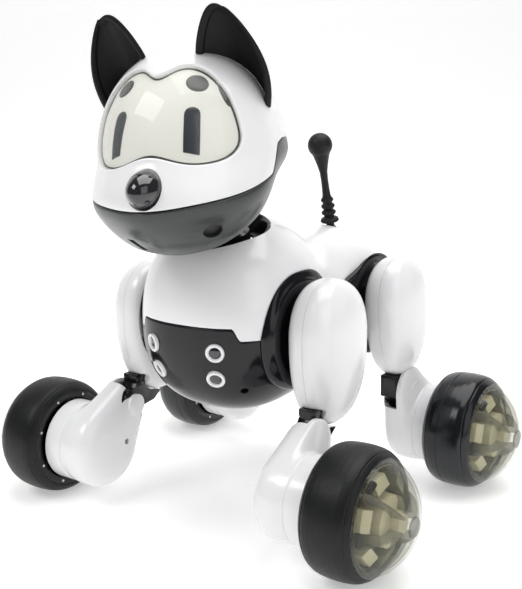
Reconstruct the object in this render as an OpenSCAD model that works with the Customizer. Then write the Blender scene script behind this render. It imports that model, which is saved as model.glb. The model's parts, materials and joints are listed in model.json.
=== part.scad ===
// Quadruped robot dog with a wheel on each leg.
// The dog faces -Y, +X is its left side and +Z is up.
// The origin is on the floor, midway between the four wheels.

/* [Stance] */
// Distance between the front and rear wheel axles
wheelbase = 117.4; // [116:0.2:119]
// Distance between the middles of the front tyres
front_track = 177.4; // [176:0.2:180]
// Distance between the middles of the rear tyres
rear_track = 172; // [171:0.2:174]

/* [Wheels] */
// Outer diameter of a tyre
tyre_d = 58; // [57:0.5:59]
// Width of a tyre
tyre_w = 24.2; // [23.6:0.2:24.6]
// Height of the clear dome beyond the tyre
dome_h = 15.5; // [12:0.5:17]

/* [Torso] */
// Wall thickness of the moulded shells
wall = 2; // [1.6:0.1:2.2]
// Height of the middle of the chest
chest_z = 93; // [92.5:0.25:93.5]
// Height of the white chest above its middle
chest_top = 50; // [49.5:0.25:51]
// Gap left between neighbouring shells
gap = 0.4; // [0.3:0.05:0.5]

/* [Head] */
// Half the width of the head
head_w = 40.3; // [39.9:0.2:41.5]
// Angle that the head is turned to its left at rest
head_turn = 16; // [10:1:20]
// Radial running clearance of pins in their bores
run = 0.05; // [0.02:0.01:0.09]

/* [Hidden] */
$fn = 64;

// Colours
white_c = [0.95, 0.95, 0.95];
black_c = [0.08, 0.08, 0.09];
grey_c = [0.28, 0.29, 0.29];
rubber_c = [0.13, 0.13, 0.13];
clear_c = [0.6, 0.6, 0.56, 0.5];
pearl_c = [0.86, 0.86, 0.8];
steel_c = [0.7, 0.7, 0.72];
board_c = [0.1, 0.4, 0.2];

// Axles and pivots, as [y, z] in the side view
tyre_r = tyre_d / 2;
front_axle = [-wheelbase / 2, tyre_r];
rear_axle = [wheelbase / 2, tyre_r];
front_hip = [-20, 91];
rear_hip = [47, 92];
front_knee = [-42.5, 47];
rear_knee = [49, 47.5];

// Torso: two barrels along X, each closed by a round ring at the legs
chest_y = -20;
chest_r = [42, 42.5, 42];
ring_x = 34.5;
rump_y = 44;
rump_z = 92;
rump_r = [42, 42, 37.5];
rump_front = 52;
rump_low = 32;

// Neck: the opening in the chest and the axis that the head turns on
neck_c = [0, -28.8, 136.4];
neck_tilt = 20;
neck_r = 23.1;
turn_c = [0, -31, 137];
turn_tilt = 12;
turn_axis = [0, -sin(turn_tilt), cos(turn_tilt)];
head_c = [0, -52.8, 171.9];
nod_c = turn_c + 22 * turn_axis;

// Rounded box curve: how far along a unit half-axis the surface still reaches at t across it
function bulge(t, n) = pow(max(0, 1 - pow(abs(t), n)), 1 / n);
// Radius of a rounded box outline with half-axes a and b in the direction of angle q
function box_r(q, a, b, n) = 1 / pow(pow(abs(cos(q)) / a, n) + pow(abs(sin(q)) / b, n), 1 / n);
// Smooth step from 0 at t <= 0 to 1 at t >= 1
function ease(t) = let (c = min(1, max(0, t))) c * c * (3 - 2 * c);
// Bisection for the place where f changes sign between a and b
function find(f, a, b, n = 14) = n == 0 ? (a + b) / 2
  : let (m = (a + b) / 2) f(m) > 0 ? find(f, m, b, n - 1) : find(f, a, m, n - 1);
function flip(list) = [for (i = [len(list) - 1 : -1 : 0]) list[i]];

// Closed shell between two point grids. The outer face looks along (u direction) x (v direction).
// wrap joins the last row to the first, and cap closes the v = 0 edge around a middle point.
module grid_shell(outer, inner, wrap = false, cap = false) {
  nu = len(outer);
  nv = len(outer[0]);
  n = nu * nv;
  rows = wrap ? nu : nu - 1;
  function id(i, j) = (i % nu) * nv + j;
  function mid(g) = [for (k = [0 : 2]) [for (i = [0 : nu - 1]) 1] * [for (r = g) r[0][k]] / nu];
  function two(a, b, c, d) = [[a, b, c], [a, c, d]];
  points = concat([for (r = outer) each r], [for (r = inner) each r], [mid(outer), mid(inner)]);
  skins = [for (i = [0 : rows - 1], j = [0 : nv - 2])
    each concat(
      two(id(i, j), id(i, j + 1), id(i + 1, j + 1), id(i + 1, j)),
      two(n + id(i, j), n + id(i + 1, j), n + id(i + 1, j + 1), n + id(i, j + 1)))];
  far = [for (i = [0 : rows - 1])
    each two(id(i + 1, nv - 1), id(i, nv - 1), n + id(i, nv - 1), n + id(i + 1, nv - 1))];
  near = [for (i = [0 : rows - 1]) each cap
    ? [[2 * n, id(i, 0), id(i + 1, 0)], [2 * n + 1, n + id(i + 1, 0), n + id(i, 0)]]
    : two(id(i, 0), id(i + 1, 0), n + id(i + 1, 0), n + id(i, 0))];
  ends = wrap ? [] : [for (j = [0 : nv - 2]) each concat(
    two(id(0, j + 1), id(0, j), n + id(0, j), n + id(0, j + 1)),
    two(id(nu - 1, j), id(nu - 1, j + 1), n + id(nu - 1, j + 1), n + id(nu - 1, j)))];
  polyhedron(cap ? points : [for (i = [0 : 2 * n - 1]) points[i]], concat(skins, far, near, ends));
}

// ---- Torso ----

// Point on the chest barrel, d below its surface, at place x and angle q up from the front
function chest_at(x, q, d = 0) = let (
    k = bulge(x / chest_r[0], 2.4),
    up = (sin(q) > 0 ? chest_top : chest_r[2]) - d,
    r = box_r(q, chest_r[1] - d, up, 2.4) * k)
  [x, chest_y - r * cos(q), chest_z + r * sin(q)];
function rump_at(x, q, d = 0) = let (
    k = bulge(x / rump_r[0], 2),
    len_y = (cos(q) > 0 ? rump_r[1] : rump_front) - d,
    up = (sin(q) > 0 ? rump_r[2] : rump_low) - d,
    r = box_r(q, len_y, up, 2.6) * k)
  [x, rump_y + r * cos(q), rump_z + r * sin(q)];

// The same surfaces, with the ends drawn further out near the top
function chest_skin(x, q, d = 0) = chest_at(x * (1 + 0.093 * max(0, sin(q))), q, d);
function rump_skin(x, q, d = 0) = rump_at(x * (1 + 0.04 * max(0, sin(q))), q, d);

// Height of the bib's stepped top edge at place x
function bib_edge(x) = 98.6 - 5.8 * ease((abs(x) - 24.5) / 4);
function bib_angle(x) = find(function(q) bib_edge(x) - chest_skin(x, q)[2], -20, 40);
// Angle at which the chest reaches its rear rim
function rim_angle(x) = find(function(q) 2 - chest_skin(x, q)[1], 60, 178);
function rump_front_angle(x) = find(
  function(q) rump_skin(x, q)[1] - 5.5 - 7.5 * pow(abs(x) / ring_x, 3), 60, 178);

// Places across a barrel, closer together near its ends
function across(n) = [for (i = [0 : n]) let (s = 2 * i / n - 1) ring_x * s * (1.35 - 0.35 * s * s)];
// Barrel grid from angle a(x) to b(x); the u direction is -X so that the outer face looks out
function barrel(at, a, b, n, m, d) = [for (x = flip(across(n)))
  let (q0 = a(x), q1 = b(x)) [for (j = [0 : m]) at(x, q0 + (q1 - q0) * j / m, d)]];

tail_c = [0, 69, 124];
function chest_end(x) = find(function(q) chest_skin(x, q)[1] - 9, -178, -70);
function rump_end(x) = find(function(q) rump_skin(x, q)[1] - 15, -178, -70);
function chest_grid(a, b, m, d) = barrel(function(x, q, e) chest_skin(x, q, e), a, b, 20, m, d);
function rump_grid(a, b, m, d) = barrel(function(x, q, e) rump_skin(x, q, e), a, b, 16, m, d);

module chest_shell() color(white_c) difference() {
  grid_shell(
    chest_grid(function(x) bib_angle(x), function(x) rim_angle(x), 18, 0),
    chest_grid(function(x) bib_angle(x), function(x) rim_angle(x), 18, wall));
  translate(neck_c) rotate([neck_tilt, 0, 0]) cylinder(r = neck_r, h = 60, center = true);
}

// Places of the four range sensors on the bib, as [x, angle]
sensor_at = [for (s = [-1, 1]) each [[s * 18, -8], [s * 16.5, -26]]];
sensor_r = 4.4;
// Stands children on the point face, looking away from the point from
module look_out(face, from) {
  out = face - from;
  translate(face) rotate([0, 0, atan2(out[1], out[0])]) rotate([0, 90 - asin(out[2] / norm(out)), 0])
    children();
}
module at_sensors() for (p = sensor_at) look_out(chest_at(p[0], p[1]), [0, chest_y, chest_z]) children();

// Charging socket low on the left of the bib
jack_r = 1.8;
module at_jack() look_out(chest_skin(26, -40), [12, chest_y, chest_z]) children();
module chest_bib() color(black_c) difference() {
  grid_shell(
    chest_grid(function(x) chest_end(x), function(x) bib_angle(x) - 0.6, 14, 0),
    chest_grid(function(x) chest_end(x), function(x) bib_angle(x) - 0.6, 14, wall));
  at_sensors() cylinder(r = sensor_r + 0.1, h = 8, center = true);
  at_jack() cylinder(r = jack_r, h = 20, center = true);
}
module sensor_rings() color(white_c) at_sensors() difference() {
  translate([0, 0, -2.6]) cylinder(r = sensor_r, h = 3.1);
  translate([0, 0, -3]) cylinder(r = sensor_r - 1.7, h = 4);
}
module sensor_lenses() color(black_c) at_sensors() translate([0, 0, -2.4])
  cylinder(r = sensor_r - 1.75, h = 2);

module rump_shell() color(white_c) difference() {
  grid_shell(
    rump_grid(function(x) rump_end(x), function(x) rump_front_angle(x), 26, 0),
    rump_grid(function(x) rump_end(x), function(x) rump_front_angle(x), 26, wall));
  translate([-door_w / 2, rump_y - door_l / 2, 50]) cube([door_w, door_l, 20]);
  translate(tail_c) cylinder(r = 5, h = 20, center = true);
  translate([-switch_w / 2 - 3, 75, switch_z - 2.2]) cube([switch_w + 6, 20, 4.4]);
}
door_w = 32;
door_l = 38;
switch_w = 6;
switch_z = 74;
// Door in the flat underside, cut from a small piece of the same skin
function door_grid(d) = [for (i = [0 : 8]) let (x = 17 - 34 * i / 8)
  [for (j = [0 : 10]) rump_skin(x, -130 + 80 * j / 10, d)]];
module battery_door() color(white_c) difference() {
  intersection() {
    grid_shell(door_grid(0), door_grid(wall));
    translate([gap - door_w / 2, gap + rump_y - door_l / 2, 50])
      cube([door_w - 2 * gap, door_l - 2 * gap, 20]);
  }
  translate([0, rump_y + 14, 50]) cylinder(r = 1.6, h = 30);
}

// Black ring that closes a barrel at a leg: an outline at the barrel tapers to a circle at the leg
leg_gap_x = 40.3;
// way is 1 where angles run up from -Y and -1 where they run up from +Y
module leg_ring(at, hip, way) {
  outer = [for (i = [0 : 29]) let (q = -way * 12 * i, p = at(ring_x, q))
    [p + [0.35, 0, 0], [39.4, hip[0] - way * 26 * cos(q), hip[1] + 26 * sin(q)],
     [leg_gap_x, hip[0] - way * 24.4 * cos(q), hip[1] + 24.4 * sin(q)]]];
  middle = [0, hip[0], hip[1]];
  inner = [for (r = outer) [for (p = r) let (d = p - middle) middle + [d[0], 0.9 * d[1], 0.9 * d[2]]]];
  grid_shell(outer, inner, wrap = true);
  translate([36.6, hip[0], hip[1]]) rotate([0, 90, 0]) difference() {
    cylinder(r = 24.6, h = 1.8);
    translate([0, 0, -1]) cylinder(r = hip_pin_r + 0.6, h = 4);
  }
}

// ---- Legs ----
seam_x = 52.6;
// Cup of height h from x0 outwards on the given side, with its outline from r_of(angle)
function cup_grid(h, r_of, x0, side, n, m, d, e = 2.4) =
  [for (i = [0 : n - 1]) let (q = -side * 360 * i / n)
    [for (j = [0 : m]) let (t = 90 * (0.14 + 0.86 * j / m), r = (r_of(q) - d) * pow(sin(t), 2 / e))
      [x0 + side * (h - d) * pow(max(0, cos(t)), 2 / e), r * cos(q), r * sin(q)]]];
function front_thigh(q) = sin(q) > 0 ? box_r(q, 22.5, 26.5, 2.3) : box_r(q, 22.5, 41, 2.3);
function rear_thigh(q) = sin(q) > 0 ? box_r(q, 20, 25.5, 2.3) : box_r(q, 20, 36.5, 2.4);

module thigh_cup(r_of, side, h, x0) grid_shell(
  cup_grid(h, r_of, x0, side, 28, 6, 0), cup_grid(h, r_of, x0, side, 28, 6, wall), wrap = true, cap = true);

module on(side) {
  if (side > 0) children();
  else mirror([1, 0, 0]) children();
}
module at_hip(front) translate([0, (front ? front_hip : rear_hip)[0], (front ? front_hip : rear_hip)[1]])
  rotate([front ? 0 : 6, 0, 0]) children();

thigh_in = 12;
thigh_out = 14;
hip_pin_r = 7;
// Heights of the notch in the front thigh and of the flat bottom of the rear thigh
notch_z = 61.5;
rear_cut_z = 60.4;
// Room left round the knee link where it leaves the thigh
link_gap = 0.2;
// Openings that the knee link comes out of: a notch at the front, or the flat bottom at the rear
module thigh_cuts(front) {
  if (front) translate([20, -60, 0]) cube([60, 27, notch_z]);
  else translate([20, 0, 0]) cube([60, 90, rear_cut_z]);
  low = [link_x[0] - link_gap, front ? -35 : 43.2, 50];
  translate(low) cube([link_x[1] - link_x[0] + 2 * link_gap, front ? 6.2 : 11, front ? 16 : 13]);
}
module thigh_outer(front) color(white_c) difference() {
  at_hip(front) thigh_cup(front ? function(q) front_thigh(q) : function(q) rear_thigh(q), 1,
    front ? thigh_out : thigh_out - 1.5, seam_x + 0.1);
  thigh_cuts(front);
}
module thigh_inner(front) color(white_c) {
  difference() {
    at_hip(front) thigh_cup(front ? function(q) front_thigh(q) : function(q) rear_thigh(q), -1,
      thigh_in, seam_x - 0.1);
    thigh_cuts(front);
    at_hip(front) translate([30, 0, 0]) rotate([0, 90, 0]) cylinder(r = 5, h = 20);
  }
  at_hip(front) translate([23, 0, 0]) rotate([0, 90, 0]) difference() {
    cylinder(r = hip_pin_r, h = 20);
    translate([0, 0, -1]) cylinder(r = 2, h = 22);
  }
}

link_x = [48.6, 57.4];
module side_plate(points, x) translate([x[0], 0, 0]) rotate([90, 0, 90]) linear_extrude(x[1] - x[0])
  polygon(points);
pin_r = 3;
module knee_link(front) color(black_c) {
  k = front ? front_knee : rear_knee;
  points = front
    ? [[-29, 80], [-34.8, 80], [-34.8, 61.2], [-39.5, 61.2], [-39.5, 57], [-45, 50], [-44, 43], [-32, 45],
       [-27, 45.5], [-21.5, 49.2], [-28, 50.6], [-33.3, 54.2], [-33.3, 59.4], [-29, 60.2]]
    : [[44, 72], [44, 61], [43.3, 57.3], [37.2, 57.3], [37.2, 46.4], [44, 43], [52, 43], [50.2, 55.5],
       [51, 57.2], [54, 61], [54, 72]];
  side_plate(points, link_x);
  translate([0, k[0], k[1]]) rotate([0, 90, 0]) {
    translate([0, 0, link_x[0]]) cylinder(r = 8, h = link_x[1] - link_x[0]);
    translate([0, 0, 46.6]) cylinder(r = pin_r, h = 12.8);
  }
}

// Shin: a pod around the wheel axle and the knee, drawn out into a round motor drum
shin_r = 20.5;
knee_r = 12;
drum_r = 20;
shin_x = 57;
shin_in = 11;
function pod_r(q, w, k, d) = max([for (t = [0 : 0.1 : 1]) let (
    c = (k - w) * t, r = shin_r + (knee_r - shin_r) * t - d,
    a = c * [cos(q), sin(q)], b = c * [-sin(q), cos(q)])
  abs(b) < r ? a + sqrt(r * r - b * b) : 0]);
function shin_grid(w, k, end_x, d) = [for (i = [0 : 31]) let (q = -360 * i / 32, r1 = pod_r(q, w, k, d))
  flip(concat(
    [for (j = [0 : 4]) let (t = 90 * (0.16 + 0.84 * j / 4), s = pow(sin(t), 2 / 2.8))
      [shin_x - (shin_in - d) * pow(max(0, cos(t)), 2 / 2.8),
        w[0] + s * r1 * cos(q), w[1] + s * r1 * sin(q)]],
    [for (p = [[60, 0], [61.6, 0.22], [63.2, 0.7], [65, 1], [end_x, 1]])
      let (r = r1 + (drum_r - d - r1) * p[1])
        [p[0], w[0] + r * cos(q), w[1] + r * sin(q)]]))];
module shin(front) {
  w = front ? front_axle : rear_axle;
  k = front ? front_knee : rear_knee;
  end_x = (front ? front_track : rear_track) / 2 - tyre_w / 2 - 1;
  color(white_c) difference() {
    union() {
      rev_cap_shell(shin_grid(w, k, end_x, 0), shin_grid(w, k, end_x, wall));
      translate([46.4, k[0], k[1]]) rotate([0, 90, 0]) cylinder(r = 5.5, h = (front ? 61.9 : 62.9) - 46.4);
    }
    translate([48.1, k[0], k[1]]) rotate([0, 90, 0]) cylinder(r = 9.6, h = 9.8);
    side_plate([for (p = front ? front_mouth : rear_mouth) p + k], [48.1, 57.9]);
    translate([46.5, k[0], k[1]]) rotate([0, 90, 0]) cylinder(r = pin_r + run, h = 13.1);
  }
}
// Where the knee link leaves the shin, as [y, z] from the knee pivot
front_mouth = [[0, 0], [-9, 24], [30, 24], [30, -8], [8, -8]];
rear_mouth = [[0, 0], [12, 24], [-30, 24], [-30, -7], [-8, -7]];
// The same as grid_shell with its cap on the last column
module rev_cap_shell(outer, inner) {
  n = len(outer);
  turn = function(g) [for (i = [n - 1 : -1 : 0]) flip(g[i])];
  grid_shell(turn(outer), turn(inner), wrap = true, cap = true);
}

// ---- Wheels, built along +Z with z = 0 at the middle of the tyre ----
module at_wheel(front)
  translate([(front ? front_track : rear_track) / 2, (front ? front_axle : rear_axle)[0], tyre_r])
    rotate([0, 90, 0]) children();
rim_r = tyre_r - 4.6;
axle_r = 2.5;
// Tyre outline: the share of the full radius at each place across the width
tyre_crown = [[-0.5, 0.865], [-0.47, 0.9], [-0.42, 0.94], [-0.34, 0.972], [-0.25, 0.988], [-0.12, 0.997],
  [0, 1], [0.12, 0.997], [0.25, 0.986], [0.34, 0.966], [0.42, 0.932], [0.47, 0.898], [0.5, 0.87]];
module tyre() color(rubber_c) rotate_extrude() polygon(concat([[rim_r, -tyre_w / 2]],
  [for (p = tyre_crown) [p[1] * tyre_r, p[0] * tyre_w]], [[rim_r, tyre_w / 2]]));
module rim() color(black_c) {
  difference() {
    union() {
      difference() {
        translate([0, 0, -tyre_w / 2]) cylinder(r = rim_r - 0.05, h = tyre_w);
        translate([0, 0, 1 - tyre_w / 2]) cylinder(r = rim_r - 1.8, h = tyre_w);
        translate([0, 0, -tyre_w]) cylinder(r = 20.6, h = tyre_w);
      }
      translate([0, 0, -2]) cylinder(r = rim_r - 1.5, h = 2.4);
      translate([0, 0, -10]) cylinder(r = 7, h = 14);
    }
    for (a = [0 : 30 : 330]) rotate([0, 0, a]) translate([14.5, 0, -4]) cylinder(r = 2.6, h = 8);
  }
  translate([0, 0, -24]) cylinder(r = axle_r, h = 16);
}
dome_base = 25;
dome_t = 1.4;
dome_seat = tyre_w / 2 + 0.2;
// Half outline of a ball's cap with base radius b and height h, standing on the dome's seat
function cap_arc(b, h, n) = let (big = (b * b + h * h) / (2 * h))
  [for (i = [0 : n]) let (a = i / n * asin(b / big)) [big * sin(a), big * cos(a) - big + h + dome_seat]];
module dome() color(clear_c) rotate_extrude()
  polygon(concat(cap_arc(dome_base, dome_h, 14), flip(cap_arc(dome_base - 1.6, dome_h - dome_t, 14))));
motor_x = 59;
motor_r = 15;
module motor(front) {
  end = (front ? front_track : rear_track) / 2 - tyre_w / 2 - 1;
  w = front ? front_axle : rear_axle;
  color(black_c) translate([motor_x, w[0], w[1]]) rotate([0, 90, 0]) difference() {
    union() {
      cylinder(r = motor_r, h = end - motor_x - 2);
      translate([0, 0, end - motor_x - 2.2]) cylinder(r = drum_r - wall - 0.15, h = 2.2);
    }
    translate([0, 0, 3]) cylinder(r = axle_r + run, h = 30);
  }
}

module leg_rings() color(black_c) for (s = [-1, 1]) on(s) {
  leg_ring(function(x, q) chest_skin(x, q), front_hip, 1);
  leg_ring(function(x, q) rump_skin(x, q), rear_hip, -1);
}

// ---- Inside the torso ----
hub_r = 11;
waist_n = 48;
function waist_r(q, d) = box_r(q, 32.3 - d, (sin(q) > 0 ? 25.8 : 22.5) - d, 2.3);
module waist_outline(d) polygon([for (i = [0 : waist_n - 1]) let (q = 360 * i / waist_n)
  [waist_r(q, d) * cos(q), waist_r(q, d) * sin(q)]]);
module torso_frame() color(black_c) {
  translate([0, 20, rump_z + 0.5]) rotate([90, 0, 0]) difference() {
    linear_extrude(26) waist_outline(0);
    translate([0, 0, -1]) linear_extrude(12) waist_outline(2.5);
    translate([0, 0, 14]) linear_extrude(13) waist_outline(2.5);
    translate([-20, -14, 8]) cube([10, 6, 10]);
  }
  for (h = [front_hip, rear_hip]) difference() {
    translate([-33, h[0], h[1]]) rotate([0, 90, 0]) cylinder(r = hub_r, h = 66);
    for (s = [-1, 1])
      translate([s * 34 - 12, h[0], h[1]]) rotate([0, 90, 0]) cylinder(r = hip_pin_r + run, h = 24);
    translate([-10, h[0] - 20, h[1] - 20]) cube([20, 40, 14]);
  }
  rail_l = rear_hip[0] - front_hip[0] - 12;
  for (s = [-1, 1]) translate([s * 12 - 3, front_hip[0] + 6, 88]) cube([6, rail_l, 7]);
  difference() {
    union() {
      translate([0, tail_c[1], 98]) cylinder(r = 6.5, h = tail_c[2] - 98 - 8);
      translate([0, tail_c[1], 98]) cylinder(r = 4.9, h = tail_c[2] - 98 + 1.2);
      translate([-5, rear_hip[0], 96]) cube([10, tail_c[1] - rear_hip[0], 6]);
    }
    translate(tail_c) sphere(r = tail_ball_r + run);
    translate([0, 0, 0.6] + tail_c) cylinder(r1 = 2.9, r2 = 4.6, h = 3);
  }
}
tail_ball_r = 3.6;

module battery_pack() color("orange") for (x = [-11.2, 0, 11.2])
  translate([x, 24, 71.5]) rotate([-90, 0, 0]) cylinder(r = 5.5, h = 36);
module main_board() color(board_c) difference() {
  translate([-20, 24, 104]) cube([40, 30, 1.6]);
  for (x = [-16.5, 16.5], y = [28, 50]) translate([x, y, 100]) cylinder(r = 1.5, h = 8);
}
module speaker() color(grey_c) translate([0, -34, 62]) {
  cylinder(r = 14, h = 2);
  translate([0, 0, 2]) cylinder(r1 = 13, r2 = 8, h = 6);
}
module torso_screws() color(steel_c) for (x = [-16.5, 16.5], y = [28, 50]) translate([x, y, 0]) {
  translate([0, 0, 96]) cylinder(r = 1.3, h = 9);
  translate([0, 0, 105.7]) cylinder(r = 2.6, h = 1.6);
}
module power_switch() color(black_c) {
  translate([-switch_w / 2, 0, switch_z - 2]) translate([0, 77, 0]) cube([switch_w, 10.5, 4]);
}

// ---- Neck ----
module along_turn() translate(turn_c) rotate([turn_tilt, 0, 0]) children();
module turned() translate(turn_c) rotate(a = head_turn, v = turn_axis) translate(-turn_c) children();
module neck_collar() color(black_c) difference() {
  translate(neck_c) rotate([neck_tilt, 0, 0]) difference() {
    translate([0, 0, -10]) cylinder(r = neck_r - 0.3, h = 9.2);
    translate([0, 0, -8.2]) cylinder(r1 = neck_r - 4, r2 = neck_r - 1.6, h = 8);
  }
  along_turn() translate([0, 0, -20]) cylinder(r = 14.4, h = 40);
}
shaft_r = 5;
nod_pin_r = 2;
module neck_motor() color(grey_c) along_turn() difference() {
  translate([-9.9, -9.9, -32]) cube([19.8, 19.8, 20]);
  translate([0, 0, -28]) cylinder(r = shaft_r + run, h = 30);
}
// Radius of the barrel round the nod pin
barrel_r = 3.4;
module neck_yoke() color(black_c) turned() {
  along_turn() difference() {
    union() {
      translate([0, 0, -27]) cylinder(r = shaft_r, h = 20);
      translate([0, 0, -8]) cylinder(r = 13.9, h = 7);
      translate([0, 0, -1]) cylinder(r1 = 13.9, r2 = 8.4, h = 3);
      translate([0, 0, 1]) cylinder(r = 7.6, h = 13.4);
      translate([0, 0, 14]) cylinder(r = 6.6, h = 4);
      translate([-9.8, -barrel_r, 15.6]) cube([19.6, 2 * barrel_r, 6.4]);
      translate([-9.8, 0, 22]) rotate([0, 90, 0]) cylinder(r = barrel_r, h = 19.6);
    }
    translate([-12, 0, 22]) rotate([0, 90, 0]) cylinder(r = nod_pin_r + run, h = 24);
  }
}
module neck_pin() color(steel_c) turned()
  translate([-14.4, nod_c[1], nod_c[2]]) rotate([0, 90, 0]) cylinder(r = nod_pin_r, h = 28.8);

// ---- Head, modelled looking straight ahead about its own middle, then turned ----
head_y = 45.9;
head_up = 48.8;
head_low = 35.4;
muzzle = 4.6;
chin = 8.75;
visor_el = 24;
visor_half = 51.8;
mouth_gap = 0.6;
// Unit direction at azimuth az (from straight ahead towards +X) and elevation el
function dir(az, el) = [sin(az) * cos(el), -cos(az) * cos(el), sin(el)];
function az_of(v) = atan2(v[0], -v[1]);
function el_of(v) = asin(v[2] / norm(v));
// Point on the head in the direction of v, d below its surface; the chin is pushed out at the front
function head_at(v, d = 0) = let (
    n = 2.1,
    r = pow(pow(abs(v[0]) / head_w, n) + pow(abs(v[1]) / head_y, n)
      + pow(abs(v[2]) / (v[2] > 0 ? head_up : head_low), n), -1 / n),
    nose = exp(-pow(acos(min(1, v * dir(0, -17))) / 20, 2)),
    fore = 1 - 2 * ease((abs(az_of(v)) - 28.7) / 101.7),
    down = ease((4.3 - el_of(v)) / 26.4))
  v * (r - d + muzzle * nose + chin * fore * down);
// Elevation of the line between the white shell and the dark jaw, and of the jaw's lower edge
function mouth_el(az) = -17 + 6 * pow(min(abs(az), 95) / 70, 2.3) + 15 * ease((abs(az) - 75) / 12);
function jaw_low_el(az) = -52 + 19 * ease(abs(az) / 85);
// Direction at angle b from the middle of the visor, leaving it at angle q from straight up
function polar(q, b) = dir(0, visor_el) * cos(b)
  + (cos(q) * dir(180, 90 - visor_el) + sin(q) * [1, 0, 0]) * sin(b);
function visor_taper(az) = sqrt(max(0, 1 - pow(abs(az) / visor_half, 5)));
function visor_top(az) = 15 + (33.3 + 7.5 * (1 - exp(-pow(az / 13, 2)))) * visor_taper(az);
function visor_low(az) = 15 - (9.9 + 5.6 * (1 - exp(-pow(az / 15, 2)))) * visor_taper(az);
function in_visor(v) = let (az = az_of(v), el = el_of(v))
  abs(az) < visor_half && el < visor_top(az) && el > visor_low(az) ? 1 : -1;
function visor_b(q) = find(function(b) in_visor(polar(q, b)), 4, 75);
function mouth_b(q) = find(
  function(b) let (v = polar(q, b)) el_of(v) - mouth_el(az_of(v)), visor_b(q) + 2, 175);

module in_head() turned() translate(head_c) children();
function head_grid(n, m, d) =
  [for (i = [0 : n - 1]) let (q = 360 * i / n, b0 = visor_b(q) + 0.25, b1 = mouth_b(q))
    [for (j = [0 : m]) head_at(polar(q, b0 + (b1 - b0) * pow(j / m, 1.15)), d)]];
nose_el = 9;
nose_far = 55;
nose_r = 7.5;
module nose_axis() rotate([90 + nose_el, 0, 0]) children();
module head_shell() color(white_c) in_head() difference() {
  grid_shell(head_grid(48, 9, 0), head_grid(48, 9, wall), wrap = true);
  nose_axis() translate([0, 0, 30]) cylinder(r = nose_r + run, h = 40);
  for (s = [0, 1]) mirror([s, 0, 0]) ear_peg_at() cylinder(r = ear_peg_r + run, h = 30, center = true);
}
function jaw_grid(n, m, d) = [for (i = [0 : n - 1]) let (az = 360 * i / n - 180, e0 = jaw_low_el(az),
    e1 = mouth_el(az) - mouth_gap - 0.9)
  [for (j = [0 : m]) head_at(dir(az, e0 + (e1 - e0) * j / m), d)]];
module jaw_shell() color(grey_c) in_head() difference() {
  grid_shell(jaw_grid(48, 6, 0), jaw_grid(48, 6, wall), wrap = true);
  translate(head_at(dir(30, -32))) rotate([0, 90 + 32, 30 - 90]) cylinder(r = 4, h = 14, center = true);
}
// Dish that closes the jaw from its lower edge down to a hole for the neck
neck_hole_r = 10.2;
// Wall of the dish
dish_t = 1.6;
// Lugs of the neck pin: their distance from the middle, their width and their depth
lug_x = 12.6;
lug_w = 4;
lug_d = 6.6;
function jaw_base_grid(n, m, d) = [for (i = [0 : n - 1]) let (az = 360 * i / n - 180,
    a = head_at(dir(az, jaw_low_el(az) - 4.5), 0.4),
    b = turn_c - head_c + 8.5 * turn_axis)
  [for (j = [0 : m]) let (t = (j + 0.5) / (m + 0.5))
    b + (a - b) * t + (d - 2.2 * sin(180 * t)) * turn_axis]];
module jaw_base() color(grey_c) {
  difference() {
    in_head() grid_shell(jaw_base_grid(36, 3, 0), jaw_base_grid(36, 3, dish_t), wrap = true, cap = true);
    turned() translate(turn_c) along_tilt() cylinder(r = neck_hole_r, h = 20);
  }
  turned() for (s = [-1, 1]) translate([s * lug_x, nod_c[1], nod_c[2]]) difference() {
    along_tilt() translate([-lug_w / 2, -lug_d / 2, -14]) cube([lug_w, lug_d, 18]);
    rotate([0, 90, 0]) cylinder(r = nod_pin_r + run, h = 3 * lug_w, center = true);
  }
}
module along_tilt() rotate([turn_tilt, 0, 0]) children();
function visor_grid(n, m, d, inset = 0.25) =
  [for (i = [0 : n - 1]) let (q = 360 * i / n, b1 = visor_b(q) - inset)
    [for (j = [0 : m]) head_at(polar(q, 3 + (b1 - 3) * j / m), d)]];
module visor() color(pearl_c) in_head()
  grid_shell(visor_grid(48, 5, 0.3), visor_grid(48, 5, 1.8), wrap = true, cap = true);
module face_panel() color(pearl_c) in_head()
  grid_shell(visor_grid(24, 3, 5.4, 1), visor_grid(24, 3, 7, 1), wrap = true, cap = true);
module face_place(az, el, d) translate(head_at(dir(az, el), d)) rotate([0, 90 - el, az - 90]) children();
// Thickness of the eye lamps
lamp_t = 0.9;
module eye_lamps() color([0.2, 0.23, 0.28]) in_head() for (s = [-1, 1]) {
  face_place(s * 21.6, 16.5, 4.6) translate([-8.8, -3, 0]) cube([17.6, 6, lamp_t]);
  face_place(s * 28.5, 42, 4.8) cylinder(r = 4.1, h = lamp_t);
  face_place(s * 46, 36, 4.6) translate([-5, -1.3, 0]) cube([10, 2.6, lamp_t]);
}
module nose_button() color(black_c) in_head() nose_axis() {
  intersection() {
    translate([0, 0, nose_far]) sphere(r = nose_r);
    translate([0, 0, nose_far]) cylinder(r = nose_r, h = 20);
  }
  translate([0, 0, 46]) cylinder(r = nose_r, h = nose_far - 46);
  translate([0, 0, 38]) cylinder(r = 2.5, h = 8);
}

// Ears: cupped plates that stand on the head, left and right alike
ear_root_in = [11.6, -17.1, 43.9];
ear_root_out = [37, -4.4, 20.2];
ear_tip = [27.7, -23.5, 60.6];
ear_back = [0.05, 0.991, -0.128];
ear_depth = 9.4;
ear_bow = [0.7, 3.8];
ear_t = 2.8;
ear_lift = 0.7;
ear_peg_r = 2.5;
ear_mid = (ear_root_in + ear_root_out) / 2;
ear_half = (ear_root_out - ear_root_in) / 2;
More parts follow.
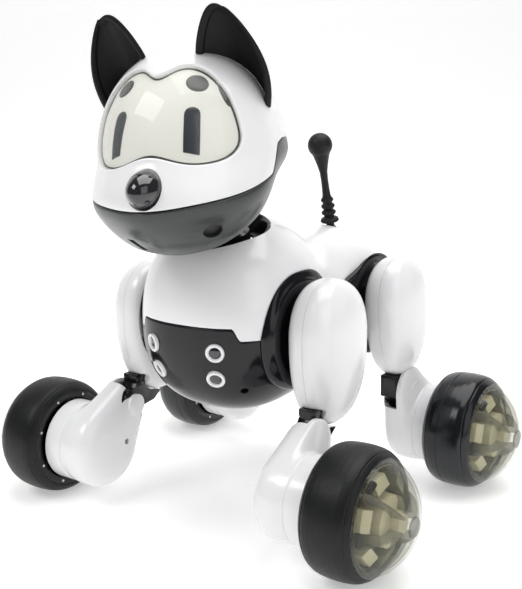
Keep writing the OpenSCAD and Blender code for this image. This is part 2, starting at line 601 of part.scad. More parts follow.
// Point at height s (0 at the head, 1 at the tip) and place t across (-1 inner, 1 outer edge)
function ear_at(s, t, d = 0) = let (
    w = sqrt(max(0, 1 - pow(s, 1.4))),
    cup = ear_back * ear_depth * (1 - t * t),
    foot = ear_mid + ear_half * t + cup,
    sit = foot * ((norm(head_at(foot / norm(foot))) + ear_lift) / norm(foot) - 1),
    face = ear_back * cos(50 * t) + ear_half / norm(ear_half) * sin(50 * t),
    bow = (t > 0 ? ear_bow[1] : ear_bow[0]) * abs(t) * sin(165 * s))
  ear_mid + (ear_tip - ear_mid) * s + ear_half * t * w + cup * pow(1 - s, 0.49) + sit * pow(1 - s, 1.5)
    + face * d + [bow, 0, 0];
module ear_peg_at() let (foot = ear_at(0, 0))
  translate(foot) rotate([0, 90 - el_of(foot), az_of(foot) - 90]) children();
function ear_grid(d) =
  [for (i = [0 : 14]) [for (j = [0 : 10]) ear_at(0.992 * (1 - j / 10), 2 * i / 14 - 1, d)]];
module ear() color(black_c) {
  grid_shell(ear_grid(ear_t / 2), ear_grid(-ear_t / 2));
  ear_peg_at() translate([0, 0, -6]) cylinder(r = ear_peg_r, h = 7);
}
module head_screws() color(steel_c) in_head() for (s = [-1, 1]) translate([s * 17, -14, -30.5]) {
  cylinder(r = 1.3, h = 9);
  translate([0, 0, 9]) cylinder(r = 2.6, h = 1.6);
}

// ---- Tail ----
tail_top = [0, 58, 171];
tail_lean = atan2(tail_c[1] - tail_top[1], tail_top[2] - tail_c[2]);
module tail() color(rubber_c) translate(tail_c) rotate([tail_lean, 0, 0]) {
  long = norm(tail_top - tail_c);
  sphere(r = tail_ball_r);
  cylinder(r = 2.2, h = 6);
  rotate_extrude() polygon([[0, 5.6], [4.8, 5.6], [4.4, 7.2], [2.6, 8.4], [2.6, 9], [3.6, 10.2],
    [2.6, 11.4], [2.5, 12.4], [3.4, 13.6], [2.4, 14.8], [2.3, 15.8], [3.1, 17], [2.2, 18.4], [1.7, 30],
    [1.9, long], [0, long]]);
  translate([0, 0, long]) sphere(r = 6.5);
}

// The parts above are drawn about the point on the floor midway between the wheels. This moves
// them so that the origin is on the floor below the middle of the whole dog, nose included.
origin_y = 12.157;
module placed() translate([0, origin_y, 0]) children();

placed() chest_shell();
placed() chest_bib();
placed() sensor_rings();
placed() sensor_lenses();
placed() leg_rings();
placed() torso_frame();
placed() rump_shell();
placed() battery_door();
placed() battery_pack();
placed() main_board();
placed() speaker();
placed() torso_screws();
placed() neck_collar();
placed() neck_motor();
placed() power_switch();
placed() neck_yoke();
placed() neck_pin();
placed() head_shell();
placed() jaw_shell();
placed() jaw_base();
placed() visor();
placed() face_panel();
placed() eye_lamps();
placed() nose_button();
placed() in_head() ear();  // ear_left
placed() in_head() mirror([1, 0, 0]) ear();  // ear_right
placed() head_screws();
placed() tail();
placed() on(1) thigh_outer(true);  // fl_thigh_outer
placed() on(1) thigh_inner(true);  // fl_thigh_inner
placed() on(1) knee_link(true);  // fl_knee_link
placed() on(1) shin(true);  // fl_shin
placed() on(1) motor(true);  // fl_motor
placed() on(1) at_wheel(true) rim();  // fl_rim
placed() on(1) at_wheel(true) tyre();  // fl_tyre
placed() on(1) at_wheel(true) dome();  // fl_dome
placed() on(-1) thigh_outer(true);  // fr_thigh_outer
placed() on(-1) thigh_inner(true);  // fr_thigh_inner
placed() on(-1) knee_link(true);  // fr_knee_link
placed() on(-1) shin(true);  // fr_shin
placed() on(-1) motor(true);  // fr_motor
placed() on(-1) at_wheel(true) rim();  // fr_rim
placed() on(-1) at_wheel(true) tyre();  // fr_tyre
placed() on(-1) at_wheel(true) dome();  // fr_dome
placed() on(1) thigh_outer(false);  // rl_thigh_outer
placed() on(1) thigh_inner(false);  // rl_thigh_inner
placed() on(1) knee_link(false);  // rl_knee_link
placed() on(1) shin(false);  // rl_shin
placed() on(1) motor(false);  // rl_motor
placed() on(1) at_wheel(false) rim();  // rl_rim
placed() on(1) at_wheel(false) tyre();  // rl_tyre
placed() on(1) at_wheel(false) dome();  // rl_dome
placed() on(-1) thigh_outer(false);  // rr_thigh_outer
placed() on(-1) thigh_inner(false);  // rr_thigh_inner
placed() on(-1) knee_link(false);  // rr_knee_link
placed() on(-1) shin(false);  // rr_shin
placed() on(-1) motor(false);  // rr_motor
placed() on(-1) at_wheel(false) rim();  // rr_rim
placed() on(-1) at_wheel(false) tyre();  // rr_tyre
placed() on(-1) at_wheel(false) dome();  // rr_dome
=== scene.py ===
"""Looks for the quadruped robot dog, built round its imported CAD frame. Metres; shapes are worked out in millimetres."""
import json
import math

import bmesh
import bpy
import numpy as np
from mathutils import Matrix, Vector

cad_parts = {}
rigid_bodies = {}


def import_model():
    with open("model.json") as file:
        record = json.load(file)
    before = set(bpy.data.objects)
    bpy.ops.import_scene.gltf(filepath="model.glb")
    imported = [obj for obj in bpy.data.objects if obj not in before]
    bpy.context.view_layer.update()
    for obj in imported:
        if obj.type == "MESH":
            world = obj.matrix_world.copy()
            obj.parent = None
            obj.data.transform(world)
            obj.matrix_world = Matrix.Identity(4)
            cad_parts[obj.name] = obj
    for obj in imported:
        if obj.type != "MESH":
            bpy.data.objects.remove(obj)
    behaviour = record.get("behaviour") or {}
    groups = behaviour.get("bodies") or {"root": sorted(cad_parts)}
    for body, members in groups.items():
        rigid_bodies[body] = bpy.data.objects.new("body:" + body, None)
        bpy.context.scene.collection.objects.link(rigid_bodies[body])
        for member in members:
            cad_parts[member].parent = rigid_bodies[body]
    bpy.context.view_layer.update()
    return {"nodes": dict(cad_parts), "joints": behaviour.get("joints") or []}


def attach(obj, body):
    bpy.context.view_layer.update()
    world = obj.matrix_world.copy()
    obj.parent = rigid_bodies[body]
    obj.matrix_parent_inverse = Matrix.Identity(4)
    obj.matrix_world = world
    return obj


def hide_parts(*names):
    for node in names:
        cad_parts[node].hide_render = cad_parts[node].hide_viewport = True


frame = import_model()

sin = lambda a: np.sin(np.radians(a))
cos = lambda a: np.cos(np.radians(a))
V = lambda *p: np.array(p, float)


def ease(t):
    t = np.clip(t, 0, 1)
    return t * t * (3 - 2 * t)


def bulge(t, n):
    return np.maximum(0, 1 - np.abs(t) ** n) ** (1 / n)


def box_r(q, a, b, n):
    return (np.abs(cos(q) / a) ** n + np.abs(sin(q) / b) ** n) ** (-1 / n)


def find(f, a, b, shape=None, n=40):
    """Bisection on arrays: the place where f goes from positive at a to negative at b."""
    a = np.full(shape, float(a)) if np.ndim(a) == 0 and shape else np.array(a, float)
    b = np.full(shape, float(b)) if np.ndim(b) == 0 and shape else np.array(b, float)
    for _ in range(n):
        m = (a + b) / 2
        up = f(m) > 0
        a, b = np.where(up, m, a), np.where(up, b, m)
    return (a + b) / 2


def rot(axis, angle):
    return np.array(Matrix.Rotation(math.radians(angle), 3, Vector(axis)))


# ---------- Materials ----------
def node_mat(name, color, rough=0.3, metal=0.0, coat=0.0, spec=0.5, bump=0.0, bump_scale=400.0, vary=0.03,
             vary_scale=30.0, rough_vary=0.06, transmission=0.0, sheen=0.0, ior=1.5):
    m = bpy.data.materials.new(name)
    m.use_nodes = True
    nt = m.node_tree
    b = nt.nodes["Principled BSDF"]
    pos = nt.nodes.new("ShaderNodeTexCoord")
    noise = nt.nodes.new("ShaderNodeTexNoise")
    noise.inputs["Scale"].default_value = vary_scale
    noise.inputs["Detail"].default_value = 4
    nt.links.new(pos.outputs["Object"], noise.inputs["Vector"])
    ramp = nt.nodes.new("ShaderNodeMix")
    ramp.data_type = "RGBA"
    lo = [max(0, c * (1 - vary)) for c in color[:3]] + [1]
    hi = [min(1, c * (1 + vary)) for c in color[:3]] + [1]
    ramp.inputs["A"].default_value = lo
    ramp.inputs["B"].default_value = hi
    nt.links.new(noise.outputs["Fac"], ramp.inputs["Factor"])
    nt.links.new(ramp.outputs["Result"], b.inputs["Base Color"])
    mr = nt.nodes.new("ShaderNodeMapRange")
    mr.inputs["To Min"].default_value = max(0.02, rough - rough_vary)
    mr.inputs["To Max"].default_value = min(1, rough + rough_vary)
    fine = nt.nodes.new("ShaderNodeTexNoise")
    fine.inputs["Scale"].default_value = vary_scale * 9
    nt.links.new(pos.outputs["Object"], fine.inputs["Vector"])
    nt.links.new(fine.outputs["Fac"], mr.inputs["Value"])
    nt.links.new(mr.outputs["Result"], b.inputs["Roughness"])
    b.inputs["Metallic"].default_value = metal
    b.inputs["Coat Weight"].default_value = coat
    b.inputs["Coat Roughness"].default_value = 0.06
    b.inputs["Specular IOR Level"].default_value = spec
    b.inputs["Transmission Weight"].default_value = transmission
    b.inputs["Sheen Weight"].default_value = sheen
    b.inputs["IOR"].default_value = ior
    if bump:
        g = nt.nodes.new("ShaderNodeTexNoise")
        g.inputs["Scale"].default_value = bump_scale
        g.inputs["Detail"].default_value = 3
        nt.links.new(pos.outputs["Object"], g.inputs["Vector"])
        bp = nt.nodes.new("ShaderNodeBump")
        bp.inputs["Strength"].default_value = bump
        bp.inputs["Distance"].default_value = 0.0002
        nt.links.new(g.outputs["Fac"], bp.inputs["Height"])
        nt.links.new(bp.outputs["Normal"], b.inputs["Normal"])
    return m


MAT = {
    "white_shell": node_mat("white_abs", (0.83, 0.83, 0.84), 0.24, coat=0.35, vary=0.012, rough_vary=0.03),
    "black_gloss": node_mat("black_abs", (0.006, 0.006, 0.008), 0.16, coat=0.12, spec=0.3, vary=0.15, rough_vary=0.03),
    "black_matte": node_mat("black_plastic", (0.014, 0.014, 0.015), 0.45, vary=0.2, bump=0.25, bump_scale=900),
    "jaw_grey": node_mat("jaw_plastic", (0.034, 0.038, 0.037), 0.3, coat=0.2, spec=0.4, vary=0.08, bump=0.08, bump_scale=1500),
    "base_grey": node_mat("base_plastic", (0.1, 0.105, 0.1), 0.34, vary=0.06, bump=0.08, bump_scale=1500),
    "panel": node_mat("panel_cream", (0.84, 0.84, 0.8), 0.5, vary=0.05, vary_scale=14),
    "lamp": node_mat("lamp_blue_grey", (0.013, 0.02, 0.03), 0.22, vary=0.2, vary_scale=300),
    "brow": node_mat("brow_dot", (0.022, 0.023, 0.024), 0.3, vary=0.2, vary_scale=200),
    "lens": node_mat("dark_lens", (0.012, 0.012, 0.016), 0.07, coat=1.0, vary=0.3),
    "ear_rubber": node_mat("ear_rubber", (0.004, 0.004, 0.0045), 0.5, spec=0.22, vary=0.25, bump=0.35, bump_scale=1300),
    "tail_rubber": node_mat("tail_rubber", (0.008, 0.008, 0.008), 0.5, spec=0.3, vary=0.2, bump=0.3, bump_scale=1300),
    "tread": node_mat("tyre_rubber", (0.008, 0.0085, 0.009), 0.42, spec=0.25, vary=0.2, bump=0.3, bump_scale=1100, rough_vary=0.1),
    "tread_rear": node_mat("tyre_rubber_gloss", (0.006, 0.007, 0.009), 0.22, coat=0.1, spec=0.35, vary=0.2, bump=0.12,
                           bump_scale=700, rough_vary=0.06),
    "steel": node_mat("steel", (0.62, 0.62, 0.64), 0.3, metal=1.0, vary=0.08, vary_scale=200),
    "board": node_mat("board_green", (0.02, 0.14, 0.06), 0.4, vary=0.2, vary_scale=120, bump=0.3),
    "cell": node_mat("cell_wrap", (0.5, 0.16, 0.02), 0.3, coat=0.4, vary=0.08),
    "grille": node_mat("speaker_black", (0.02, 0.02, 0.02), 0.6, vary=0.2, bump=0.5),
    "cream": node_mat("cream_plastic", (0.62, 0.58, 0.42), 0.3, coat=0.2, vary=0.08, vary_scale=60),
    "dull_cream": node_mat("reflector_plastic", (0.26, 0.25, 0.19), 0.3, coat=0.3, vary=0.3, vary_scale=90),
    "copper": node_mat("motor_copper", (0.5, 0.3, 0.12), 0.35, metal=0.6, vary=0.2, vary_scale=200),
    "pale": node_mat("pale_hub", (0.75, 0.75, 0.72), 0.3, coat=0.3, vary=0.05),
    "nose_black": node_mat("nose_abs", (0.012, 0.012, 0.015), 0.09, coat=0.8, vary=0.15, rough_vary=0.02),
    # Painted shade: this near-black colour goes on sheets set behind seams and holes, standing in for the shade inside
    # them
    "gap": node_mat("gap_dark", (0.02, 0.022, 0.02), 0.6, vary=0.2),
}


def clear_mat(name, tint, milk, milk_color, rough, edge=0.35):
    """Thin clear plastic: tinted see-through, a share of milky diffuse, and a glossy coat by facing angle."""
    m = bpy.data.materials.new(name)
    m.use_nodes = True
    nt = m.node_tree
    nt.nodes.remove(nt.nodes["Principled BSDF"])
    out = nt.nodes["Material Output"]
    new = nt.nodes.new
    pos, noise = new("ShaderNodeTexCoord"), new("ShaderNodeTexNoise")
    noise.inputs["Scale"].default_value = 45
    nt.links.new(pos.outputs["Object"], noise.inputs["Vector"])
    facing = new("ShaderNodeLayerWeight")
    facing.inputs["Blend"].default_value = 0.35
    clear, body, coat = new("ShaderNodeBsdfTransparent"), new("ShaderNodeBsdfDiffuse"), new("ShaderNodeBsdfGlossy")
    clear.inputs["Color"].default_value = (*tint, 1)
    body.inputs["Color"].default_value = (*milk_color, 1)
    coat.inputs["Roughness"].default_value = rough
    share = new("ShaderNodeMapRange")
    share.inputs["To Min"].default_value = milk
    share.inputs["To Max"].default_value = min(1, milk + edge)
    nt.links.new(facing.outputs["Facing"], share.inputs["Value"])
    wob = new("ShaderNodeMath")
    wob.operation = "MULTIPLY_ADD"
    nt.links.new(noise.outputs["Fac"], wob.inputs[0])
    wob.inputs[1].default_value = 0.03
    nt.links.new(share.outputs["Result"], wob.inputs[2])
    mix1, mix2, fres = new("ShaderNodeMixShader"), new("ShaderNodeMixShader"), new("ShaderNodeFresnel")
    nt.links.new(wob.outputs["Value"], mix1.inputs[0])
    nt.links.new(clear.outputs[0], mix1.inputs[1])
    nt.links.new(body.outputs[0], mix1.inputs[2])
    fres.inputs["IOR"].default_value = 1.5
    outside, face = new("ShaderNodeMath"), new("ShaderNodeNewGeometry")
    outside.operation = "MULTIPLY_ADD"
    nt.links.new(face.outputs["Backfacing"], outside.inputs[0])
    outside.inputs[1].default_value, outside.inputs[2].default_value = -0.55, 0.55
    shine = new("ShaderNodeMath")
    shine.operation = "MULTIPLY"
    nt.links.new(fres.outputs[0], shine.inputs[0])
    nt.links.new(outside.outputs["Value"], shine.inputs[1])
    nt.links.new(shine.outputs["Value"], mix2.inputs[0])
    nt.links.new(mix1.outputs[0], mix2.inputs[1])
    nt.links.new(coat.outputs[0], mix2.inputs[2])
    nt.links.new(mix2.outputs[0], out.inputs["Surface"])
    return m


MAT["pearl"] = clear_mat("visor_pearl", (0.985, 0.985, 0.975), 0.0, (0.85, 0.85, 0.82), 0.04, 0.1)
MAT["smoke"] = clear_mat("dome_smoke", (0.93, 0.93, 0.9), 0.0, (0.3, 0.3, 0.27), 0.04, 0.22)
MAT["smoke_cap"] = clear_mat("dome_cap", (0.75, 0.75, 0.73), 0.15, (0.3, 0.3, 0.29), 0.08, 0.3)
MAT["rib"] = clear_mat("dome_rib", (0.72, 0.72, 0.69), 0.12, (0.4, 0.4, 0.37), 0.08, 0.4)


# ---------- Mesh helpers ----------
def make(name, verts, faces, mat, body, smooth=True, sharp=40, slot=None):
    me = bpy.data.meshes.new(name)
    me.from_pydata([tuple(v) for v in np.asarray(verts, float) / 1000], [], [tuple(int(i) for i in f) for f in faces])
    me.validate()
    bm = bmesh.new()
    bm.from_mesh(me)
    bmesh.ops.remove_doubles(bm, verts=bm.verts, dist=2e-6)
    bmesh.ops.dissolve_degenerate(bm, edges=bm.edges, dist=1e-7)
    bmesh.ops.recalc_face_normals(bm, faces=bm.faces)
    if bm.calc_volume(signed=True) < 0:
        bmesh.ops.reverse_faces(bm, faces=bm.faces)
    bm.to_mesh(me)
    bm.free()
    o = bpy.data.objects.new(name, me)
    bpy.context.scene.collection.objects.link(o)
    me.materials.append(MAT[mat] if isinstance(mat, str) else mat)
    if smooth:
        shade(o, sharp)
    o["ride"] = body
    if slot:
        o["slot_name"] = slot
    elif isinstance(mat, str):
        o["slot_name"] = mat
    return o


def shade(o, sharp=40):
    for p in o.data.polygons:
        p.use_smooth = True
    o.data.set_sharp_from_angle(angle=math.radians(sharp))


def closed_grid(outer, inner, wrap_u=False, cap=False):
    """Verts and faces of a closed shell between two [u][v] point grids."""
    nu, nv = outer.shape[:2]
    n = nu * nv
    pts = np.concatenate([outer.reshape(-1, 3), inner.reshape(-1, 3)])
    I = lambda i, j: (i % nu) * nv + j
    rows = nu if wrap_u else nu - 1
    f = []
    for i in range(rows):
        for j in range(nv - 1):
            a, b, c, d = I(i, j), I(i, j + 1), I(i + 1, j + 1), I(i + 1, j)
            f += [(a, b, c, d), (n + a, n + d, n + c, n + b)]
        f.append((I(i + 1, nv - 1), I(i, nv - 1), n + I(i, nv - 1), n + I(i + 1, nv - 1)))
        if not cap:
            f.append((I(i, 0), I(i + 1, 0), n + I(i + 1, 0), n + I(i, 0)))
    if cap:
        pts = np.concatenate([pts, [outer[:, 0].mean(0), inner[:, 0].mean(0)]])
        for i in range(rows):
            f += [(2 * n, I(i, 0), I(i + 1, 0)), (2 * n + 1, n + I(i + 1, 0), n + I(i, 0))]
    if not wrap_u:
        for j in range(nv - 1):
            f += [(I(0, j + 1), I(0, j), n + I(0, j), n + I(0, j + 1)),
                  (I(nu - 1, j), I(nu - 1, j + 1), n + I(nu - 1, j + 1), n + I(nu - 1, j))]
    return pts, f


def revolve(name, profile, mat, body, at, axis="x", steps=96, sharp=35, side=1):
    """Closed profile of (radius, place) turned about an axis through at."""
    prof = np.array(profile, float)
    a = np.arange(steps) * 360 / steps
    m = len(prof)
    pts = []
    for t in a:
        r, z = prof[:, 0], prof[:, 1] * side
        if axis == "x":
            pts.append(np.stack([z, r * cos(t), r * sin(t)], -1))
        else:
            pts.append(np.stack([r * cos(t), r * sin(t), z], -1))
    pts = np.concatenate(pts) + np.array(at)
    f = []
    for i in range(steps):
        for j in range(m):
            k, l = (i + 1) % steps, (j + 1) % m
            if prof[j, 0] == 0 and prof[l, 0] == 0:
                continue
            f.append((i * m + j, i * m + l, k * m + l, k * m + j))
    return make(name, pts, f, mat, body, sharp=sharp)


def cutter(verts, faces):
    me = bpy.data.meshes.new("cutter")
    me.from_pydata([tuple(v) for v in np.asarray(verts, float) / 1000], [], faces)
    bm = bmesh.new()
    bm.from_mesh(me)
    bmesh.ops.recalc_face_normals(bm, faces=bm.faces)
    bm.to_mesh(me)
    bm.free()
    o = bpy.data.objects.new("cutter", me)
    bpy.context.scene.collection.objects.link(o)
    return o


def tube(a, b, r, steps=64, r2=None):
    """Solid cylinder or cone from a to b as (verts, faces)."""
    a, b = np.array(a, float), np.array(b, float)
    d = (b - a) / np.linalg.norm(b - a)
    u = np.cross(d, [0, 0, 1] if abs(d[2]) < 0.9 else [1, 0, 0])
    u /= np.linalg.norm(u)
    w = np.cross(d, u)
    t = np.arange(steps) * 360 / steps
    ring = cos(t)[:, None] * u + sin(t)[:, None] * w
    v = np.concatenate([a + ring * r, b + ring * (r if r2 is None else r2)])
    f = [(i, (i + 1) % steps, steps + (i + 1) % steps, steps + i) for i in range(steps)]
    return v, f + [tuple(range(steps))[::-1], tuple(range(steps, 2 * steps))]


def prism(outline, x0, x1):
    """Solid between x0 and x1 with an outline in (y, z)."""
    n = len(outline)
    v = [(x, p[0], p[1]) for x in (x0, x1) for p in outline]
    f = [(i, (i + 1) % n, n + (i + 1) % n, n + i) for i in range(n)]
    return v, f + [tuple(range(n))[::-1], tuple(range(n, 2 * n))]


def boolean(o, parts, op="DIFFERENCE", sharp=40, bevel=0.0, solver="EXACT"):
    for v, f in parts:
        c = cutter(v, f)
        c.data.materials.append(o.data.materials[0])
        mod = o.modifiers.new("cut", "BOOLEAN")
        mod.operation, mod.object, mod.solver = op, c, solver
        bake(o)
        bpy.data.objects.remove(c)
    if bevel:
        soften(o, bevel)
    shade(o, sharp)
    return o


def soften(o, width, segments=2, angle=38):
    mod = o.modifiers.new("bevel", "BEVEL")
    mod.width, mod.segments, mod.limit_method = width / 1000, segments, "ANGLE"
    mod.angle_limit = math.radians(angle)
    mod.harden_normals = False
    mod.use_clamp_overlap = True
    bake(o)


def bake(o):
    dg = bpy.context.evaluated_depsgraph_get()
    dg.update()
    me = bpy.data.meshes.new_from_object(o.evaluated_get(dg))
    o.modifiers.clear()
    old = o.data
    o.data = me
    bpy.data.meshes.remove(old)


def mirrored(o, name, body):
    """A copy of o on the other side of x = 0."""
    me = o.data.copy()
    me.transform(Matrix.Scale(-1, 4, (1, 0, 0)))
    me.flip_normals()
    n = bpy.data.objects.new(name, me)
    bpy.context.scene.collection.objects.link(n)
    n["ride"] = body
    if "slot_name" in o:
        n["slot_name"] = o["slot_name"]
    return n


def stand_for(o, *nodes):
    o["stands"] = list(nodes)
    return o


def lip(s, r=0.55):
    """How far a surface dips at distance s from its edge, for a rounded edge of radius r."""
    t = np.clip(1 - s / r, 0, 1)
    return r * (1 - np.sqrt(1 - t * t))


def packed(n, near=4, r=0.55, span=60.0):
    """Places 0..1 across a span of mm, with a few extra near each end for a rounded edge."""
    e = np.array([0, 0.12, 0.35, 0.7, 1.0]) * r / span
    return np.concatenate([e, np.linspace(e[-1], 1 - e[-1], n)[1:-1], 1 - e[::-1]])


# ---------- Shapes shared with the CAD source, worked out again at a fine step ----------
CHEST_Y, CHEST_Z, RING_X, RUMP_Y, RUMP_Z = -20, 93, 34.5, 44, 92
FRONT_HIP, REAR_HIP, FRONT_KNEE, REAR_KNEE = (-20, 91), (47, 92), (-42.5, 47), (49, 47.5)
AXLE_Y, AXLE_Z, TYRE_R, TYRE_W = 58.7, 29, 29, 24.2
TRACK = {"f": 88.7, "r": 86.0}
TURN_TILT = 12
TURN_AXIS = V(0, -sin(12), cos(12))
TURN_C, HEAD_C = V(0, -31, 137), V(0, -52.8, 171.9)
NOD_C = TURN_C + 22 * TURN_AXIS
TURN = rot(TURN_AXIS, 16)


def turned(p):
    return (np.asarray(p, float) - TURN_C) @ TURN.T + TURN_C


def in_head(p):
    return turned(np.asarray(p, float) + HEAD_C)


def chest_skin(x, q, d=0):
    x = x * (1 + 0.093 * np.maximum(0, sin(q)))
    k = bulge(x / 42, 2.4)
    r = box_r(q, 42.5 - d, np.where(sin(q) > 0, 50, 42) - d, 2.4) * k
    return np.stack([x + 0 * q, CHEST_Y - r * cos(q), CHEST_Z + r * sin(q)], -1)


def rump_skin(x, q, d=0):
    x = x * (1 + 0.04 * np.maximum(0, sin(q)))
    k = bulge(x / 42, 2)
    r = box_r(q, np.where(cos(q) > 0, 42, 52) - d, np.where(sin(q) > 0, 37.5, 32) - d, 2.6) * k
    return np.stack([x + 0 * q, RUMP_Y + r * cos(q), RUMP_Z + r * sin(q)], -1)


def barrel(skin, lo, hi, nx, nq, wall=2.0, r=0.6, edge=(True, True)):
    """Closed shell over x from -RING_X to RING_X and over the angle from lo(x) to hi(x)."""
    s = packed(nx, span=RING_X * 2.2, r=r)
    x = RING_X * (2 * s - 1) * (1.35 - 0.35 * (2 * s - 1) ** 2)
    x = x[::-1]
    q0, q1 = lo(x), hi(x)
    t = packed(nq, span=80, r=r)
    q = q0[:, None] + (q1 - q0)[:, None] * t[None]
    X = np.repeat(x[:, None], len(t), 1)
    base = skin(X, q)
    across = np.linalg.norm(np.diff(base, axis=1), axis=-1)
    run = np.concatenate([np.zeros((len(x), 1)), np.cumsum(across, 1)], 1)
    du = np.linalg.norm(np.diff(base, axis=0), axis=-1)
    runx = np.concatenate([np.zeros((1, len(t))), np.cumsum(du, 0)], 0)
    dist = np.minimum(np.minimum(run, run[:, -1:] - run), np.minimum(runx, runx[-1:] - runx))
    dip = lip(dist, r)
    return closed_grid(skin(X, q, dip), skin(X, q, wall))


bib_edge = lambda x: 98.6 - 5.8 * ease((np.abs(x) - 24.5) / 4)
bib_angle = lambda x: find(lambda q: bib_edge(x) - chest_skin(x, q)[..., 2], -20, 40, x.shape)
rim_angle = lambda x: find(lambda q: 2 - chest_skin(x, q)[..., 1], 60, 178, x.shape)
chest_end = lambda x: find(lambda q: chest_skin(x, q)[..., 1] - 9, -178, -70, x.shape)
rump_rim = lambda x: find(lambda q: rump_skin(x, q)[..., 1] - 5.5 - 7.5 * (np.abs(x) / RING_X) ** 3, 60, 178, x.shape)
rump_end = lambda x: find(lambda q: rump_skin(x, q)[..., 1] - 15, -178, -70, x.shape)

# ---------- Torso ----------
NECK_C, NECK_N = V(0, -28.8, 136.4), V(0, -sin(20), cos(20))
chest = make("chest_shell_skin", *barrel(chest_skin, bib_angle, rim_angle, 84, 64), "white_shell", "torso")
boolean(chest, [tube(NECK_C - 30 * NECK_N, NECK_C + 30 * NECK_N, 23.1, 128)], bevel=0.45)
stand_for(chest, "chest_shell")


def sensor_places():
    for x, q in ((18, -8), (16.5, -26)):
        for s in (1, -1):
            p = chest_skin(V(s * x), V(q))[0]
            out = p - V(0, CHEST_Y, CHEST_Z)
            yield p, V(out[0], out[1], out[2]) / np.linalg.norm(out)


bib = make("chest_bib_skin", *barrel(chest_skin, chest_end, lambda x: bib_angle(x) - 0.6, 84, 60), "black_gloss", "torso")
jack = chest_skin(V(26.0), V(-40.0))[0]
jack_out = (jack - V(12, CHEST_Y, CHEST_Z)) / np.linalg.norm(jack - V(12, CHEST_Y, CHEST_Z))
boolean(bib, [tube(p - 5 * n, p + 5 * n, 4.5, 64) for p, n in sensor_places()]
        + [tube(jack - 6 * jack_out, jack + 6 * jack_out, 1.8, 40)], bevel=0.2)
stand_for(bib, "chest_bib")

rump = make("rump_shell_skin", *barrel(rump_skin, rump_end, rump_rim, 72, 84), "white_shell", "torso")
TAIL_C = V(0, 69, 124)
box_of = lambda a, b: prism([(a[1], a[2]), (b[1], a[2]), (b[1], b[2]), (a[1], b[2])], a[0], b[0])
boolean(rump, [box_of((-16, 25, 50), (16, 63, 70)), tube(TAIL_C - V(0, 0, 10), TAIL_C + V(0, 0, 10), 5.4, 64),
               box_of((-6.4, 75, 71.7), (6.4, 95, 76.3))], bevel=0.3)
stand_for(rump, "rump_shell")


def leg_ring(name, skin, hip, way):
    """Black ring from a barrel's end down to the leg, as one turned profile between two outlines."""
    n = 120
    q = -way * np.arange(n) * 360 / n
    edge = skin(np.full(n, RING_X), q)
    tgt = lambda r, x: np.stack([np.full(n, float(x)), hip[0] - way * r * cos(q), hip[1] + r * sin(q)], -1)
    rows = [edge + V(0.35, 0, 0)]
    mid = tgt(26, 39.4)
    for t in (0.03, 0.3, 0.6, 0.85, 0.97):
        row = rows[0] * (1 - t) + mid * t
        grow = 1 + 0.03 * math.sin(math.pi * t)
        row[:, 1] = hip[0] + (row[:, 1] - hip[0]) * grow
        row[:, 2] = hip[1] + (row[:, 2] - hip[1]) * grow
        rows.append(row)
    rows += [mid, tgt(25.4, 40.0), tgt(24.6, 40.25), tgt(24, 40.3)]
    outer = np.stack(rows, 1)
    inner = outer.copy()
    inner[..., 1] = hip[0] + (inner[..., 1] - hip[0]) * 0.9
    inner[..., 2] = hip[1] + (inner[..., 2] - hip[1]) * 0.9
    o = make(name, *closed_grid(outer, inner, wrap_u=True), "black_gloss", "torso")
    soften(o, 0.3)
    shade(o)
    return o


rings = []
for part, skin, hip, way in (("front", chest_skin, FRONT_HIP, 1), ("rear", rump_skin, REAR_HIP, -1)):
    a = leg_ring("leg_ring_" + part + "_left", skin, hip, way)
    web = revolve("leg_web_" + part + "_left", [(7.8, 36.6), (24, 36.6), (24, 38.4), (12, 38.4), (11, 38), (7.8, 38)],
                  "black_gloss", "torso", (0, *hip), steps=72)
    rings += [a, web, mirrored(a, "leg_ring_" + part + "_right", "torso"),
              mirrored(web, "leg_web_" + part + "_right", "torso")]
stand_for(rings[0], "leg_rings")

# ---------- Legs ----------
SEAM = 52.6
front_thigh = lambda q: np.where(sin(q) > 0, box_r(q, 22.5, 26.5, 2.3), box_r(q, 22.5, 41, 2.3))
rear_thigh = lambda q: np.where(sin(q) > 0, box_r(q, 20, 25.5, 2.3), box_r(q, 20, 36.5, 2.4))


def thigh_cup(shape, side, h, x0, tilt, hip, e=2.4, n=112, m=34):
    q = -side * np.arange(n) * 360 / n
    t = 90 * np.concatenate([[0.03, 0.07], np.linspace(0.12, 0.97, m - 2), [0.985, 0.995, 1.0]])

    def grid(d, edge):
        k = sin(t) ** (2 / e)
        r = (shape(q)[:, None] - d) * k[None]
        x = np.maximum(0, cos(t)) ** (2 / e) * (h - d)
        x = np.where(x < edge, edge, x)
        x = np.repeat((x0 + side * x)[None], n, 0)
        y, z = r * cos(q)[:, None], r * sin(q)[:, None]
        c, s = math.cos(math.radians(tilt)), math.sin(math.radians(tilt))
        return np.stack([x, hip[0] + y * c - z * s, hip[1] + y * s + z * c], -1)

    return closed_grid(grid(0, 0), grid(2, 0), wrap_u=True, cap=True)


def notch_round(y0, z0, r, n=10):
    """Notch in front of y0 and below z0 whose inner corner is rounded, as an outline in (y, z)."""
    pts = [(y0 - 40, z0), (y0 - 3.2, z0)]
    for i in range(n + 1):
        a = 90 - 90 * i / n
        pts.append((y0 - 3.2 + 3.2 * math.cos(math.radians(a)), z0 - 3.2 + 3.2 * math.sin(math.radians(a))))
    pts += [(y0 + 0.6, z0 - 8), (y0 + 2.5, z0 - 13), (y0 + 2.5, z0 - 60), (y0 - 40, z0 - 60)]
    return pts


